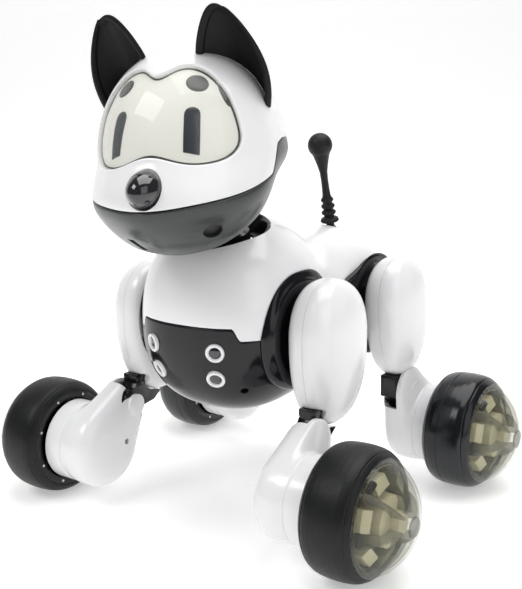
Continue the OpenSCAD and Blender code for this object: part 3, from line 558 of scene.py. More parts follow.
LEGS = {"fl": "front_left", "fr": "front_right", "rl": "rear_left", "rr": "rear_right"}
for leg in ("fl", "rl"):
    front = leg == "fl"
    hip, knee = (FRONT_HIP, FRONT_KNEE) if front else (REAR_HIP, REAR_KNEE)
    shape, tilt = (front_thigh, 0) if front else (rear_thigh, 6)
    cut = prism(notch_round(-33, 61.5, 3), 20, 80) if front else box_of((20, 0, 0), (80, 90, 57.5))
    other = "fr" if front else "rr"
    body, obody = LEGS[leg] + "_thigh", LEGS[other] + "_thigh"
    for piece, side, h, x0 in (("thigh_outer", 1, 14 if front else 12.5, SEAM + 0.1),
                               ("thigh_inner", -1, 12, SEAM - 0.1)):
        o = make(leg + "_" + piece + "_skin", *thigh_cup(shape, side, h, x0, tilt, hip, 2.4 if side > 0 else 3.2), "white_shell", body)
        parts = [cut]
        if piece == "thigh_inner":
            parts.append(tube((30, *hip), (50, *hip), 6.9, 64))
        boolean(o, parts, bevel=0.35)
        m = mirrored(o, other + "_" + piece + "_skin", obody)
        if piece == "thigh_outer":
            stand_for(o, leg + "_" + piece)
            stand_for(m, other + "_" + piece)
        else:
            shaft = revolve(leg + "_hip_shaft", [(2, 23), (7, 23), (7, 43), (2, 43)], "black_matte", body, (0, *hip), steps=64)
            soften(shaft, 0.4)
            shade(shaft)
            mirrored(shaft, other + "_hip_shaft", obody)
            stand_for(o, leg + "_" + piece)
            stand_for(m, other + "_" + piece)

# ---------- Knee links ----------
LINK_X = (48.6, 57.4)
LINKS = {
    "f": [(-29, 80), (-34.8, 80), (-34.8, 61.2), (-39.5, 61.2), (-39.5, 57), (-45, 50), (-44, 43), (-32, 45),
          (-27, 45.5), (-21.5, 49.2), (-28, 50.6), (-33.3, 54.2), (-33.3, 59.4), (-29, 60.2)],
    "r": [(44, 72), (44, 61), (43.3, 57.3), (37.2, 57.3), (37.2, 46.4), (44, 43), (52, 43), (50.2, 55.5), (51, 57.2),
          (54, 61), (54, 72)]}
for leg in ("fl", "rl"):
    k = FRONT_KNEE if leg == "fl" else REAR_KNEE
    body = LEGS[leg] + "_thigh"
    link = make(leg + "_knee_link_skin", *prism(LINKS[leg[0]], *LINK_X), "black_gloss", body)
    boolean(link, [tube((LINK_X[0], *k), (LINK_X[1], *k), 8, 96), tube((46.6, *k), (59.4, *k), 3, 48)], op="UNION", bevel=0.5)
    if leg == "fl":
        groove = prism([(-40, 57.4), (-33, 57.4), (-33, 58.0), (-40, 58.0)], 48, 49.2)
        boolean(link, [groove, prism([(-40, 57.4), (-33, 57.4), (-33, 58.0), (-40, 58.0)], 56.8, 58)])
    stand_for(link, leg + "_knee_link")
    other = "fr" if leg == "fl" else "rr"
    stand_for(mirrored(link, other + "_knee_link_skin", LEGS[other] + "_thigh"), other + "_knee_link")

# ---------- Shins ----------
SHIN_R, DRUM_R, SHIN_X, SHIN_IN = 20.5, 20, 57, 11


def pod_r(q, w, k, d, knee_r):
    """Outline of the pod round the wheel axle and the knee, from the axle at angle q."""
    best = np.zeros_like(q)
    for t in np.linspace(0, 1, 61):
        c = (np.array(k) - w) * t
        r = SHIN_R + (knee_r - SHIN_R) * t - d
        a, b = c[0] * cos(q) + c[1] * sin(q), -c[0] * sin(q) + c[1] * cos(q)
        best = np.maximum(best, np.where(np.abs(b) < r, a + np.sqrt(np.maximum(0, r * r - b * b)), 0))
    return best


def shin_grid(w, k, end_x, d, knee_r, n=160):
    q = np.arange(n) * 360 / n
    r1 = pod_r(q, w, k, d, knee_r)
    rows = []
    for t in 90 * np.concatenate([[0.03, 0.07], np.linspace(0.12, 1, 30)]):
        s = math.sin(math.radians(t)) ** (2 / 2.8)
        x = SHIN_X - (SHIN_IN - d) * max(0, math.cos(math.radians(t))) ** (2 / 2.8)
        rows.append((x, s * r1))
    for x in np.concatenate([np.linspace(57.6, 64.9, 22), [65.15, 65.4, 65.7, 66.0, 66.2],
                             np.linspace(66.7, end_x - 0.8, 7), [end_x - 0.35, end_x - 0.1, end_x]]):
        g = float(ease((x - 59.8) / 5.2))
        crease = 0.5 * math.exp(-((x - 65.7) / 0.25) ** 2) if d == 0 else 0
        edge = {0: 0.45, 1: 0.22}.get(int(round((end_x - x) * 10)), 0.0) if d == 0 else 0
        rows.append((x, r1 + (DRUM_R - d - r1) * g - crease - edge))
    return np.stack([np.stack([np.full(n, x), w[0] + r * cos(q), w[1] + r * sin(q)], -1) for x, r in rows], 1)


MOUTHS = {"f": [(0, 0), (-9, 24), (30, 24), (30, -8), (8, -8)], "r": [(0, 0), (12, 24), (-30, 24), (-30, -7), (-8, -7)]}
for leg in ("fl", "rl"):
    key, w = leg[0], ((-AXLE_Y, AXLE_Z) if leg == "fl" else (AXLE_Y, AXLE_Z))
    k = FRONT_KNEE if leg == "fl" else REAR_KNEE
    end_x = TRACK[key] - TYRE_W / 2 - 1
    knee_r = 12 if leg == "fl" else 12.6
    body = LEGS[leg] + "_shin"
    shin = make(leg + "_shin_skin", *closed_grid(shin_grid(w, k, end_x, 0, knee_r), shin_grid(w, k, end_x, 2, knee_r),
                                                 wrap_u=True, cap=True), "white_shell", body)
    boolean(shin, [tube((46.4, *k), (61.9 if leg == "fl" else 62.9, *k), 5.5, 64)], op="UNION")
    side_x = 46.2 if leg == "fl" else 47.2
    holes = [(w[0] + 7.5, w[1] + 1.5), (w[0] + 25, w[1] + 4)] if leg == "fl" else [(w[0] - 7.5, w[1] + 1.5), (w[0] - 24, w[1] + 4)]
    holes = [tube((side_x - 4, y, z), (side_x + 2.2, y, z), 1.55, 28) for y, z in holes]
    mouth = prism([(p[0] + k[0], p[1] + k[1]) for p in MOUTHS[key]], 48.1, 57.9)
    boolean(shin, [tube((48.1, *k), (57.9, *k), 9.6, 96), mouth, tube((46.5, *k), (59.6, *k), 3.05, 48)] + holes, bevel=0.3)
    stand_for(shin, leg + "_shin")
    other = "fr" if leg == "fl" else "rr"
    stand_for(mirrored(shin, other + "_shin_skin", LEGS[other] + "_shin"), other + "_shin")

# ---------- Wheels ----------
CROWN = [(-0.5, 0.865), (-0.47, 0.9), (-0.42, 0.94), (-0.34, 0.972), (-0.25, 0.988), (-0.12, 0.997), (0, 1),
         (0.12, 0.997), (0.25, 0.986), (0.34, 0.966), (0.42, 0.932), (0.47, 0.898), (0.5, 0.87)]
RIM_R = TYRE_R - 4.6
DOME_BASE, DOME_H = 25.0, 15.5
DOME_BIG = (DOME_BASE ** 2 + DOME_H ** 2) / (2 * DOME_H)


def tyre_profile(grooves):
    z = np.linspace(-0.5, 0.5, 181)
    c = np.array(CROWN)
    r = np.interp(z, c[:, 0], c[:, 1])
    kernel = np.exp(-np.linspace(-2, 2, 9) ** 2)
    padded = np.concatenate([np.full(4, r[0]) - 0.006 * np.arange(4, 0, -1), r, np.full(4, r[-1]) - 0.006 * np.arange(1, 5)])
    r = np.convolve(padded, kernel / kernel.sum(), "valid") * TYRE_R
    for g, depth, width in grooves:
        r = r - depth * np.exp(-((z * TYRE_W - g) / width) ** 2)
    return [(RIM_R, -TYRE_W / 2)] + list(zip(r, z * TYRE_W)) + [(RIM_R, TYRE_W / 2)]


def dome_z(r, inset=0.0):
    big = DOME_BIG - inset
    return math.sqrt(max(0, big * big - r * r)) - DOME_BIG + DOME_H + TYRE_W / 2 + 0.2


def slabs(name, mat, body, at, outline, angles, thick, side=1):
    """Radial plates: an outline in (radius, place along the axle), repeated at each angle."""
    pts, faces = [], []
    n = len(outline)
    for a in angles:
        base = len(pts)
        for o in (-thick / 2, thick / 2):
            for r, z in outline:
                pts.append((at[0] + side * z, at[1] + r * cos(a) - o * sin(a), at[2] + r * sin(a) + o * cos(a)))
        faces += [tuple(base + i for i in range(n)), tuple(base + n + i for i in range(n))[::-1]]
        faces += [(base + i, base + n + i, base + n + (i + 1) % n, base + (i + 1) % n) for i in range(n)]
    o = make(name, pts, faces, mat, body, sharp=30)
    soften(o, 0.12, 1)
    return o


for leg in ("fl", "rl"):
    key = leg[0]
    at = (TRACK[key], -AXLE_Y if key == "f" else AXLE_Y, TYRE_R)
    body = LEGS[leg] + "_wheel"
    made = []
    grooves = [(-9.6, 0.3, 0.22), (9.9, 0.3, 0.22)] if key == "f" else [(-9.0, 0.45, 0.25), (9.4, 0.4, 0.25), (-3.2, 0.3, 0.2)]
    tyre = revolve(leg + "_tyre_skin", tyre_profile(grooves), "tread" if key == "f" else "tread_rear", body, at, steps=192, sharp=50)
    tyre["slot_name"] = "tread"
    made.append((tyre, "_tyre"))
    rim = revolve(leg + "_rim_skin", [(2.5, -24), (2.5, -10), (7, -10), (7, -2), (22.6, -2), (22.6, -11.1), (20.6, -11.1), (20.6, -12),
                                      (20.8, -12.1), (24.1, -12.1), (24.35, -11.9), (24.35, 12.1), (22.6, 12.1), (22.6, 0.4),
                                      (7, 0.4), (7, 4), (0, 4), (0, -24)], "black_gloss", body, at, steps=144)
    windows = []
    for i in range(12):
        a = 30 * i
        c = V(at[0], at[1] + 14.5 * cos(a), at[2] + 14.5 * sin(a))
        windows.append(tube(c - V(5, 0, 0), c + V(3, 0, 0), 2.6, 28))
    boolean(rim, windows, bevel=0.15)
    made.append((rim, "_rim"))
    skin = [(r, dome_z(r)) for r in [0.0] + list(np.linspace(0.4, 24.9, 64))] + [(25, TYRE_W / 2 + 0.25), (23.6, TYRE_W / 2 + 0.25)]
    skin += [(r, dome_z(r, 1.2)) for r in np.linspace(23.2, 0.4, 60)] + [(0, dome_z(0, 1.2))]
    dome = revolve(leg + "_dome_skin", skin, "smoke", body, at, steps=160)
    made.append((dome, "_dome"))
    z0 = TYRE_W / 2
    made.append((revolve(leg + "_dome_cap", [(0, dome_z(0) - 0.4), (4.4, dome_z(4.4) - 0.3), (4.5, dome_z(4.5) + 0.35), (4.1, dome_z(4.1) + 0.55),
                                            (3.4, dome_z(3.4) + 0.35), (0, dome_z(0) + 0.3)], "smoke_cap", body, at, steps=64), ""))
    made.append((revolve(leg + "_dome_floor", [(2, z0 - 7), (22.4, z0 - 7), (22.4, z0 - 0.5), (21.6, z0 - 0.5), (20.4, z0 - 5.5), (2, z0 - 5.5)],
                         "dull_cream", body, at, steps=96), ""))
    made.append((revolve(leg + "_dome_hub", [(0, z0 - 5), (11.5, z0 - 5), (11, z0 + 5.5), (9.5, z0 + 6.5), (5, z0 + 6.8), (4.4, z0 + 10.5), (0, z0 + 10.8)],
                         "cream", body, at, steps=96), ""))
    rib = [(5.4, z0 + 6.4), (5.4, dome_z(5.4, 1.7))] + [(r, dome_z(r, 1.7)) for r in (9, 13, 17, 20, 21.8)] + [(21.8, z0 - 5.8), (11, z0 - 5.8)]
    made.append((slabs(leg + "_dome_ribs", "rib", body, at, rib, [12 + 60 * i for i in range(6)], 0.9), ""))
    box = [(14.5, z0 - 5.8), (14.5, z0 + 3.4), (19.4, z0 + 1.4), (19.4, z0 - 5.8)]
    made.append((slabs(leg + "_dome_blocks", "cream", body, at, box, [42 + 60 * i for i in range(6)], 9.5), ""))
    made.append((slabs(leg + "_dome_slots", "black_matte", body, at, [(20.2, z0 + 0.6), (20.2, z0 + 3.2), (22.2, z0 + 2.2), (22.2, z0 + 0.6)],
                       [62 + 60 * i for i in range(6)], 5.5), ""))
    dots = []
    for i in range(8):
        a = 22.5 + 45 * i
        c = V(at[0] - 12.1, at[1] + 22.4 * cos(a), at[2] + 22.4 * sin(a))
        dots.append(tube(c + V(0.4, 0, 0), c - V(0.3, 0, 0), 0.85, 20, 0.6))
    dv, df = [], []
    for v, f in dots:
        df += [tuple(i + sum(len(x) for x in dv) for i in face) for face in f]
        dv.append(v)
    made.append((make(leg + "_rim_screws", np.concatenate(dv), df, "steel", body), ""))
    other = "fr" if leg == "fl" else "rr"
    for o, node in made:
        m = mirrored(o, o.name.replace(leg + "_", other + "_", 1), LEGS[other] + "_wheel")
        if node:
            stand_for(o, leg + node)
            stand_for(m, other + node)

# ---------- Head, worked out looking straight ahead, then turned ----------
HEAD_W, HEAD_Y, HEAD_UP, HEAD_LOW = 40.3, 45.9, 48.8, 35.4
VISOR_EL, VISOR_HALF, MOUTH_GAP = 24, 51.8, 0.6


def direct(az, el):
    az, el = np.broadcast_arrays(np.asarray(az, float), np.asarray(el, float))
    return np.stack([sin(az) * cos(el), -cos(az) * cos(el), sin(el)], -1)


az_of = lambda v: np.degrees(np.arctan2(v[..., 0], -v[..., 1]))
el_of = lambda v: np.degrees(np.arcsin(np.clip(v[..., 2] / np.linalg.norm(v, axis=-1), -1, 1)))


def head_r(v):
    n = 2.1
    r = (np.abs(v[..., 0] / HEAD_W) ** n + np.abs(v[..., 1] / HEAD_Y) ** n
         + np.abs(v[..., 2] / np.where(v[..., 2] > 0, HEAD_UP, HEAD_LOW)) ** n) ** (-1 / n)
    nose = np.exp(-(np.degrees(np.arccos(np.clip(v @ direct(0, -17), -1, 1))) / 20) ** 2)
    fore = 1 - 2 * ease((np.abs(az_of(v)) - 28.7) / 101.7)
    down = ease((4.3 - el_of(v)) / 26.4)
    return r + 4.6 * nose + 8.75 * fore * down


def head_at(v, d=0.0):
    return v * (head_r(v) - d)[..., None]


mouth_el = lambda az: -17 + 6 * (np.minimum(np.abs(az), 95) / 70) ** 2.3 + 15 * ease((np.abs(az) - 75) / 12)
jaw_low_el = lambda az: -52 + 19 * ease(np.abs(az) / 85)


def polar(q, b):
    q, b = np.broadcast_arrays(np.asarray(q, float), np.asarray(b, float))
    side = cos(q)[..., None] * direct(180, 90 - VISOR_EL) + sin(q)[..., None] * V(1, 0, 0)
    return direct(0, VISOR_EL) * cos(b)[..., None] + side * sin(b)[..., None]


def in_visor(v):
    az, el = az_of(v), el_of(v)
    k = np.sqrt(np.maximum(0, 1 - (np.abs(az) / VISOR_HALF) ** 5))
    top = 15 + (33.3 + 7.5 * (1 - np.exp(-(az / 13) ** 2))) * k
    low = 15 - (9.9 + 5.6 * (1 - np.exp(-(az / 15) ** 2))) * k
    return np.where((np.abs(az) < VISOR_HALF) & (el < top) & (el > low), 1.0, -1.0)


NQ = 256
HQ = np.arange(NQ) * 360 / NQ
VB = find(lambda b: in_visor(polar(HQ, b)), 4, 75, HQ.shape)
VB = np.convolve(np.concatenate([VB[-3:], VB, VB[:3]]), [0.05, 0.12, 0.2, 0.26, 0.2, 0.12, 0.05], "valid")
MB = find(lambda b: el_of(polar(HQ, b)) - mouth_el(az_of(polar(HQ, b))), VB + 2, np.full(NQ, 175.0))


def skin_grid(dirs, wall, r, ends=(True, True), base=0.0):
    """Closed shell over the head for a grid of directions, its rims rounded by r along the second index."""
    p = head_at(dirs, base)
    run = np.concatenate([np.zeros((len(p), 1)), np.cumsum(np.linalg.norm(np.diff(p, axis=1), axis=-1), 1)], 1)
    near = run if ends[0] else np.full_like(run, 9.0)
    far = run[:, -1:] - run if ends[1] else np.full_like(run, 9.0)
    return in_head(head_at(dirs, base + lip(np.minimum(near, far), r))), in_head(head_at(dirs, base + wall))


def band(b0, b1, n, r, q=HQ):
    t = packed(n, span=60, r=r)
    return polar(q[:, None], b0[:, None] + (b1 - b0)[:, None] * t[None])


head = make("head_shell_skin", *closed_grid(*skin_grid(band(VB + 0.3, MB, 84, 0.7), 2, 0.7), wrap_u=True), "white_shell", "head")
nose_dir = turned(HEAD_C + direct(0, -9)) - turned(HEAD_C)
centre = turned(HEAD_C)
boolean(head, [tube(centre + 30 * nose_dir, centre + 70 * nose_dir, 7.55, 96)], bevel=0.25)
stand_for(head, "head_shell")

t = np.concatenate([np.linspace(0.004, 0.94, 40), np.linspace(0.955, 1, 9)])
dirs = polar(HQ[:, None], (VB - 0.3)[:, None] * t[None])
visor = make("visor_skin", *closed_grid(*skin_grid(dirs, 1.4, 0.5, (False, True), 0.25), wrap_u=True, cap=True), "pearl", "head")
stand_for(visor, "visor")
# Painted shade: a dark strip set inside the head behind the visor seam, so that the seam reads as shade
strip = band(VB - 0.9, VB + 1.2, 5, 0.3)
make("visor_gap", in_head(np.concatenate([head_at(strip, 2.1).reshape(-1, 3), head_at(strip, 2.8).reshape(-1, 3)])),
     closed_grid(strip, strip, wrap_u=True)[1], "gap", "head")
t = np.concatenate([np.linspace(0.004, 0.9, 24), np.linspace(0.92, 1, 8)])
dirs = polar(HQ[:, None], (VB - 0.6)[:, None] * t[None])
panel = make("face_panel_skin", *closed_grid(*skin_grid(dirs, 1.2, 0.3, (False, True), 2.15), wrap_u=True, cap=True), "panel", "head")
stand_for(panel, "face_panel")


def face_plate(name, outline, az, el, depth, thick, mat, rings=5):
    """Thin convex plate that follows the face: an outline in (right, up) mm about the direction az, el."""
    o = np.array(outline, float)
    mid = o.mean(0)
    d0 = direct(az, el)
    c = head_at(d0)
    u = V(cos(az), sin(az), 0)
    w = np.cross(d0, u)
    w = w * np.sign(w[2])
    grid = np.stack([mid + (o - mid) * s for s in np.linspace(0.03, 1, rings)], 1)
    d = c + grid[..., :1] * u + grid[..., 1:] * w
    d /= np.linalg.norm(d, axis=-1, keepdims=True)
    top = head_at(d, depth)
    top[:, -1] = head_at(d[:, -1], depth + 0.25)
    return make(name, *closed_grid(in_head(top), in_head(head_at(d, depth + thick)), wrap_u=True, cap=True), mat, "head", sharp=50)


def slot_outline(w, h, lean, foot, n=10):
    """Upright slot, rounded at the top, leaning over, as [right, up]."""
    pts = [(-w / 2, -h / 2), (w / 2, -h / 2)]
    pts += [(w / 2 * math.cos(math.pi * i / n), h / 2 - w / 2 + w / 2 * math.sin(math.pi * i / n)) for i in range(n + 1)]
    out = []
    for a, b in zip(pts, pts[1:] + pts[:1]):
        for k in range(4):
            out.append((a[0] + (b[0] - a[0]) * k / 4, a[1] + (b[1] - a[1]) * k / 4))
    return [(x + lean * y, y + foot * x * (y < 0)) for x, y in out]


disc = lambda rx, ry, n=40: [(rx * math.cos(2 * math.pi * i / n), ry * math.sin(2 * math.pi * i / n)) for i in range(n)]
lamps = []
for s in (1, -1):
    side = "left" if s > 0 else "right"
    lamps.append(face_plate("eye_lamp_" + side, slot_outline(7.0, 20.2, 0.1, -0.25 * s), s * 23.2, 18, 1.8, 0.9, "lamp"))
    lamps.append(face_plate("eye_brow_" + side, disc(4.9, 4.5), s * 29.8, 44.5, 1.8, 0.9, "brow"))
    lamps.append(face_plate("eye_sliver_" + side, [(x - 0.12 * y * s, y) for x, y in disc(1.9, 6.2)], s * 47.6, 38, 1.8, 0.9, "brow"))
stand_for(lamps[0], "eye_lamps")

NOSE_FAR, NOSE_R = 55.0, 7.5


def aim(o, origin, direction):
    """Turns a mesh built about +Z so that it stands on origin and looks along direction (mm)."""
    q = Vector(direction).to_track_quat("Z", "Y").to_matrix().to_4x4()
    o.data.transform(Matrix.Translation(Vector(origin) / 1000) @ q)
    return o


nose = revolve("nose_button_skin", [(0, 38), (2.5, 38), (2.5, 46), (NOSE_R, 46), (NOSE_R, 50.5)]
               + [(NOSE_R * cos(a), 50.5 + (NOSE_FAR + NOSE_R - 50.5) * sin(a)) for a in np.linspace(2, 89, 48)] + [(0, NOSE_FAR + NOSE_R)],
               "nose_black", "nose", (0, 0, 0), axis="z", steps=96)
aim(nose, centre, nose_dir)
stand_for(nose, "nose_button")

AZ = np.arange(NQ) * 360 / NQ - 180
lo_e, hi_e = jaw_low_el(AZ), mouth_el(AZ) - MOUTH_GAP
t = packed(46, span=40, r=0.5)
dirs = direct(AZ[:, None], lo_e[:, None] + (hi_e - lo_e)[:, None] * t[None])
jaw = make("jaw_shell_skin", *closed_grid(*skin_grid(dirs, 2, 0.5), wrap_u=True), "jaw_grey", "head")
holes = []
for az, el, r in ((30, -32, 4.0),):
    n = turned(HEAD_C + direct(az, el)) - centre
    p = in_head(head_at(direct(az, el)))
    holes.append(tube(p - 7 * n, p + 7 * n, r, 64))
    # Painted shade: a dark cup closes the hole from inside and stands in for the shade within it
    cup = make("jaw_hole_cup", *tube(p - 7.5 * n, p - 1.9 * n, r + 0.7, 48), "gap", "head")
    boolean(cup, [tube(p - 6.7 * n, p + 3 * n, r - 0.05, 48)])
stand_for(jaw, "jaw_shell")
slot_dirs = [direct(-20 + 1.1 * dx + 0.5, -40 + dy) for dx, dy in ((-2.4, -5.6), (2.4, -5.6), (2.4, 5.6), (-2.4, 5.6))]
near, far = [in_head(head_at(v, 8.0)) for v in slot_dirs], [in_head(head_at(v, -4.0)) for v in slot_dirs]
holes.append((np.array(near + far), [(0, 1, 5, 4), (1, 2, 6, 5), (2, 3, 7, 6), (3, 0, 4, 7), (3, 2, 1, 0), (4, 5, 6, 7)]))
boolean(jaw, holes, bevel=0.25)
# Painted shade: a dark sheet inside the jaw, behind the mouth gap and the slot, stands in for the shade inside the head
liner = direct(AZ[:, None], lo_e[:, None] + (mouth_el(AZ) + 2.5 - lo_e)[:, None] * np.linspace(0.02, 1, 24)[None])
make("jaw_liner", in_head(np.concatenate([head_at(liner, 2.15).reshape(-1, 3), head_at(liner, 2.9).reshape(-1, 3)])),
     closed_grid(liner, liner, wrap_u=True)[1], "gap", "head")

# Base ring: a lighter lip under the jaw, then a dish up to the neck
low = direct(AZ, lo_e - 0.7)
rim_r = head_r(low)
lip_pts = low * (rim_r - 0.15)[:, None]
mid_b = TURN_C - HEAD_C + 8.5 * TURN_AXIS
hole = mid_b + 10.6 * np.stack([sin(AZ), -cos(AZ) * cos(TURN_TILT), -cos(AZ) * sin(TURN_TILT)], -1)
dish_out = [low * (rim_r - 1.4)[:, None] + V(0, 0, 0.7), low * (rim_r - 0.35)[:, None] + V(0, 0, 0.5), lip_pts,
            direct(AZ, lo_e - 2.0) * (head_r(direct(AZ, lo_e - 2.0)) - 0.3)[:, None],
            direct(AZ, lo_e - 3.2) * (head_r(direct(AZ, lo_e - 3.2)) - 1.0)[:, None]]
start = dish_out[-1]
for k in np.linspace(0.1, 1, 16):
    dish_out.append(start + (hole - start) * k - 2.4 * math.sin(math.pi * k) * TURN_AXIS)
dish_out = np.stack(dish_out, 1)
dish_in = dish_out + 1.6 * TURN_AXIS
dish_in[:, :5] = dish_out[:, :5] * 0.955 + TURN_AXIS * 0.8
base = make("jaw_base_skin", *closed_grid(in_head(dish_out), in_head(dish_in), wrap_u=True), "base_grey", "head", sharp=30)
base["slot_name"] = "jaw_grey"
boolean(base, [tube(TURN_C, TURN_C + 20 * TURN_AXIS, 10.2, 96)], sharp=30, solver="MANIFOLD")
for s in (-1, 1):
    lug = make("neck_lug_" + ("left" if s > 0 else "right"), *prism([(-4, -13), (4, -13), (4, 0)] + [
        (4 * math.cos(math.radians(a)), 4 * math.sin(math.radians(a))) for a in range(15, 166, 15)] + [(-4, 0)], -2, 2), "jaw_grey", "head")
    lug.data.transform(Matrix.Translation(Vector(NOD_C + V(s * 12.6, 0, 0)) / 1000) @ Matrix.Rotation(math.radians(TURN_TILT), 4, "X"))
    lug.data.transform(Matrix.Translation(Vector(TURN_C) / 1000) @ Matrix(TURN.tolist()).to_4x4() @ Matrix.Translation(-Vector(TURN_C) / 1000))
    nod = turned(NOD_C)
    axis = turned(NOD_C + V(1, 0, 0)) - nod
    boolean(lug, [tube(nod - 30 * axis, nod + 30 * axis, 2.05, 32)], bevel=0.3)
stand_for(base, "jaw_base")

# ---------- Ears ----------
ROOT_IN, ROOT_OUT, TIP = V(11.6, -17.1, 43.9), V(37, -4.4, 20.2), V(27.7, -23.5, 60.6)
BACK = V(0.05, 0.991, -0.128)
EAR_MID, EAR_HALF = (ROOT_IN + ROOT_OUT) / 2, (ROOT_OUT - ROOT_IN) / 2


def ear_at(s, t, d):
    cup = BACK * 9.4 * (1 - t * t)[..., None]
    foot = EAR_MID + EAR_HALF * t[..., None] + cup
    far = np.linalg.norm(foot, axis=-1)
    sit = foot * ((head_r(foot / far[..., None]) + 0.3) / far - 1)[..., None]
    face = BACK * cos(50 * t)[..., None] + EAR_HALF / np.linalg.norm(EAR_HALF) * sin(50 * t)[..., None]
    w = np.sqrt(np.maximum(0, 1 - s ** 1.4))
    p = EAR_MID + (TIP - EAR_MID) * s[..., None] + EAR_HALF * (t * w)[..., None] + cup * ((1 - s) ** 0.49)[..., None]
    p += sit * ((1 - s) ** 1.5)[..., None] + face * d[..., None]
    p[..., 0] += (3.8 * np.maximum(0, t) + 0.7 * np.maximum(0, -t)) * sin(165 * s)
    return p


S = 1 - np.concatenate([np.linspace(0, 0.03, 14) ** 1.3 / 0.03 ** 0.3, np.linspace(0.04, 1, 56)])
S = np.minimum(S, 0.9992)
T = np.sin(np.linspace(-np.pi / 2, np.pi / 2, 72))
ss, tt = np.meshgrid(S, T, indexing="ij")
zero = np.zeros_like(ss)
flat = ear_at(ss, tt, zero)
across = np.linalg.norm(np.diff(flat, axis=1), axis=-1)
run = np.concatenate([np.zeros((len(S), 1)), np.cumsum(across, 1)], 1)
to_edge = np.minimum(run, run[:, -1:] - run)
above = np.linalg.norm(flat - ear_at(np.full_like(ss, 0.9992), tt * 0, zero), axis=-1)
to_edge = np.minimum(to_edge, above)
rim = 1 - ease((to_edge - 2.7) / 0.9)
round_off = lip(to_edge, 1.25)
back = ear_at(ss, tt, 1.4 - round_off)
front = ear_at(ss, tt, -(0.35 + 1.35 * rim) + round_off)
left = make("ear_left_skin", *closed_grid(in_head(back), in_head(front)), "ear_rubber", "head", sharp=60)
flip_x = V(-1, 1, 1)
right = make("ear_right_skin", *closed_grid(in_head(back * flip_x), in_head(front * flip_x)), "ear_rubber", "head", sharp=60)
stand_for(left, "ear_left")
stand_for(right, "ear_right")

# ---------- Neck collar, sensors, tail ----------
collar = revolve("neck_collar_skin", [(14.6, -10), (22.7, -10), (22.7, -1.2), (22.3, -0.7), (21.6, -0.7), (20.4, -2.2), (18.2, -8.2), (14.6, -8.4)],
                 "black_gloss", "torso", (0, 0, 0), axis="z", steps=128)
aim(collar, NECK_C, NECK_N)
boolean(collar, [tube(TURN_C - 30 * TURN_AXIS, TURN_C + 40 * TURN_AXIS, 14.4, 96)], bevel=0.2)
stand_for(collar, "neck_collar")
for i, (p, n) in enumerate(sensor_places()):
    ring = revolve("sensor_ring_%d" % i, [(2.7, -2.2), (4.35, -2.2), (4.35, 0.5), (4.1, 0.85), (3.6, 1.0), (3.1, 0.8), (2.75, 0.3)],
                   "white_shell", "torso", (0, 0, 0), axis="z", steps=64)
    aim(ring, p, n)
    eye = revolve("sensor_lens_%d" % i, [(0, -1.6), (2.7, -1.6), (2.7, 0), (2.2, 0.35), (1.2, 0.65), (0, 0.75)], "lens", "torso",
                  (0, 0, 0), axis="z", steps=48)
    aim(eye, p, n)
    if i == 0:
        stand_for(ring, "sensor_rings")
        stand_for(eye, "sensor_lenses")

TAIL_TOP = V(0, 58, 171)
TAIL_DIR = (TAIL_TOP - TAIL_C) / np.linalg.norm(TAIL_TOP - TAIL_C)
LONG = float(np.linalg.norm(TAIL_TOP - TAIL_C))
prof = [(0, -3.6), (1.8, -3.1), (3.1, -1.8), (3.6, 0), (3.1, 1.8), (2.2, 2.8), (2.2, 5.6), (4.9, 5.6), (5.1, 6.0), (4.7, 7.0), (3.9, 7.6),
        (2.9, 8.0), (2.7, 8.6)]
for z, r in ((10.6, 3.9), (14.2, 3.7), (17.8, 3.4)):
    prof += [(2.6, z - 1.7), (r - 0.5, z - 0.9), (r, z - 0.35), (r, z + 0.35), (r - 0.5, z + 0.9), (2.5, z + 1.6)]
prof += [(2.2, 20.4), (2.0, 24), (1.9, 29), (2.1, 33.5), (2.9, 37.5), (4.3, LONG - 5.6)]
prof += [(6.5 * cos(a), LONG + 6.5 * sin(a)) for a in np.linspace(-42, 88, 26)] + [(0, LONG + 6.5)]
tail = revolve("tail_skin", prof, "tail_rubber", "tail", (0, 0, 0), axis="z", steps=96, sharp=50)
aim(tail, TAIL_C, TAIL_DIR)
stand_for(tail, "tail")

# ---------- Riding, slots and the CAD nodes that are shown as they are ----------
# The shapes are worked out about the point midway between the axles; the frame has it a little further back
SHIFT = Vector((0, sum(j["pos_m"][1] for j in frame["joints"] if j["name"].endswith("_spin")) / 4, 0))
for o in list(bpy.context.scene.objects):
    if "ride" in o:
        o.data.transform(Matrix.Translation(SHIFT))
        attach(o, o["ride"])
        if "stands" in o:
            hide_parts(*list(o["stands"]))

KEPT = {"torso_frame": "black_gloss", "battery_door": "white_shell", "battery_pack": "cell", "main_board": "board", "speaker": "grille",
        "torso_screws": "steel", "neck_motor": "black_matte", "power_switch": "black_matte", "neck_yoke": "black_gloss",
        "neck_pin": "steel", "head_screws": "steel"}
for leg in LEGS:
    KEPT[leg + "_motor"] = "black_matte"
for node, mat in KEPT.items():
    o = frame["nodes"][node]
    o.data.materials.clear()
    o.data.materials.append(MAT[mat])

# ---------- Stage, light and camera ----------
floor_mat = node_mat("floor", (0.9, 0.9, 0.9), 0.7, vary=0.004, vary_scale=3)
rows = [(y, 0.0) for y in np.linspace(-1.6, 1.0, 27)] + [(1.0 + 0.8 * math.sin(a), 0.8 - 0.8 * math.cos(a)) for a in np.linspace(0.1, math.pi / 2, 16)]
rows += [(1.8, z) for z in (1.2, 1.8, 2.6)]
aim_back = Matrix.Rotation(math.radians(35.4), 3, "Z")
verts = [aim_back @ Vector((x, y, z)) + SHIFT for y, z in rows for x in np.linspace(-3, 3, 7)]
me = bpy.data.meshes.new("floor")
me.from_pydata([tuple(v) for v in verts], [], [(7 * i + j, 7 * i + j + 1, 7 * i + j + 8, 7 * i + j + 7) for i in range(len(rows) - 1) for j in range(6)])
floor = bpy.data.objects.new("floor", me)
bpy.context.scene.collection.objects.link(floor)
me.materials.append(floor_mat)
for p in me.polygons:
    p.use_smooth = True


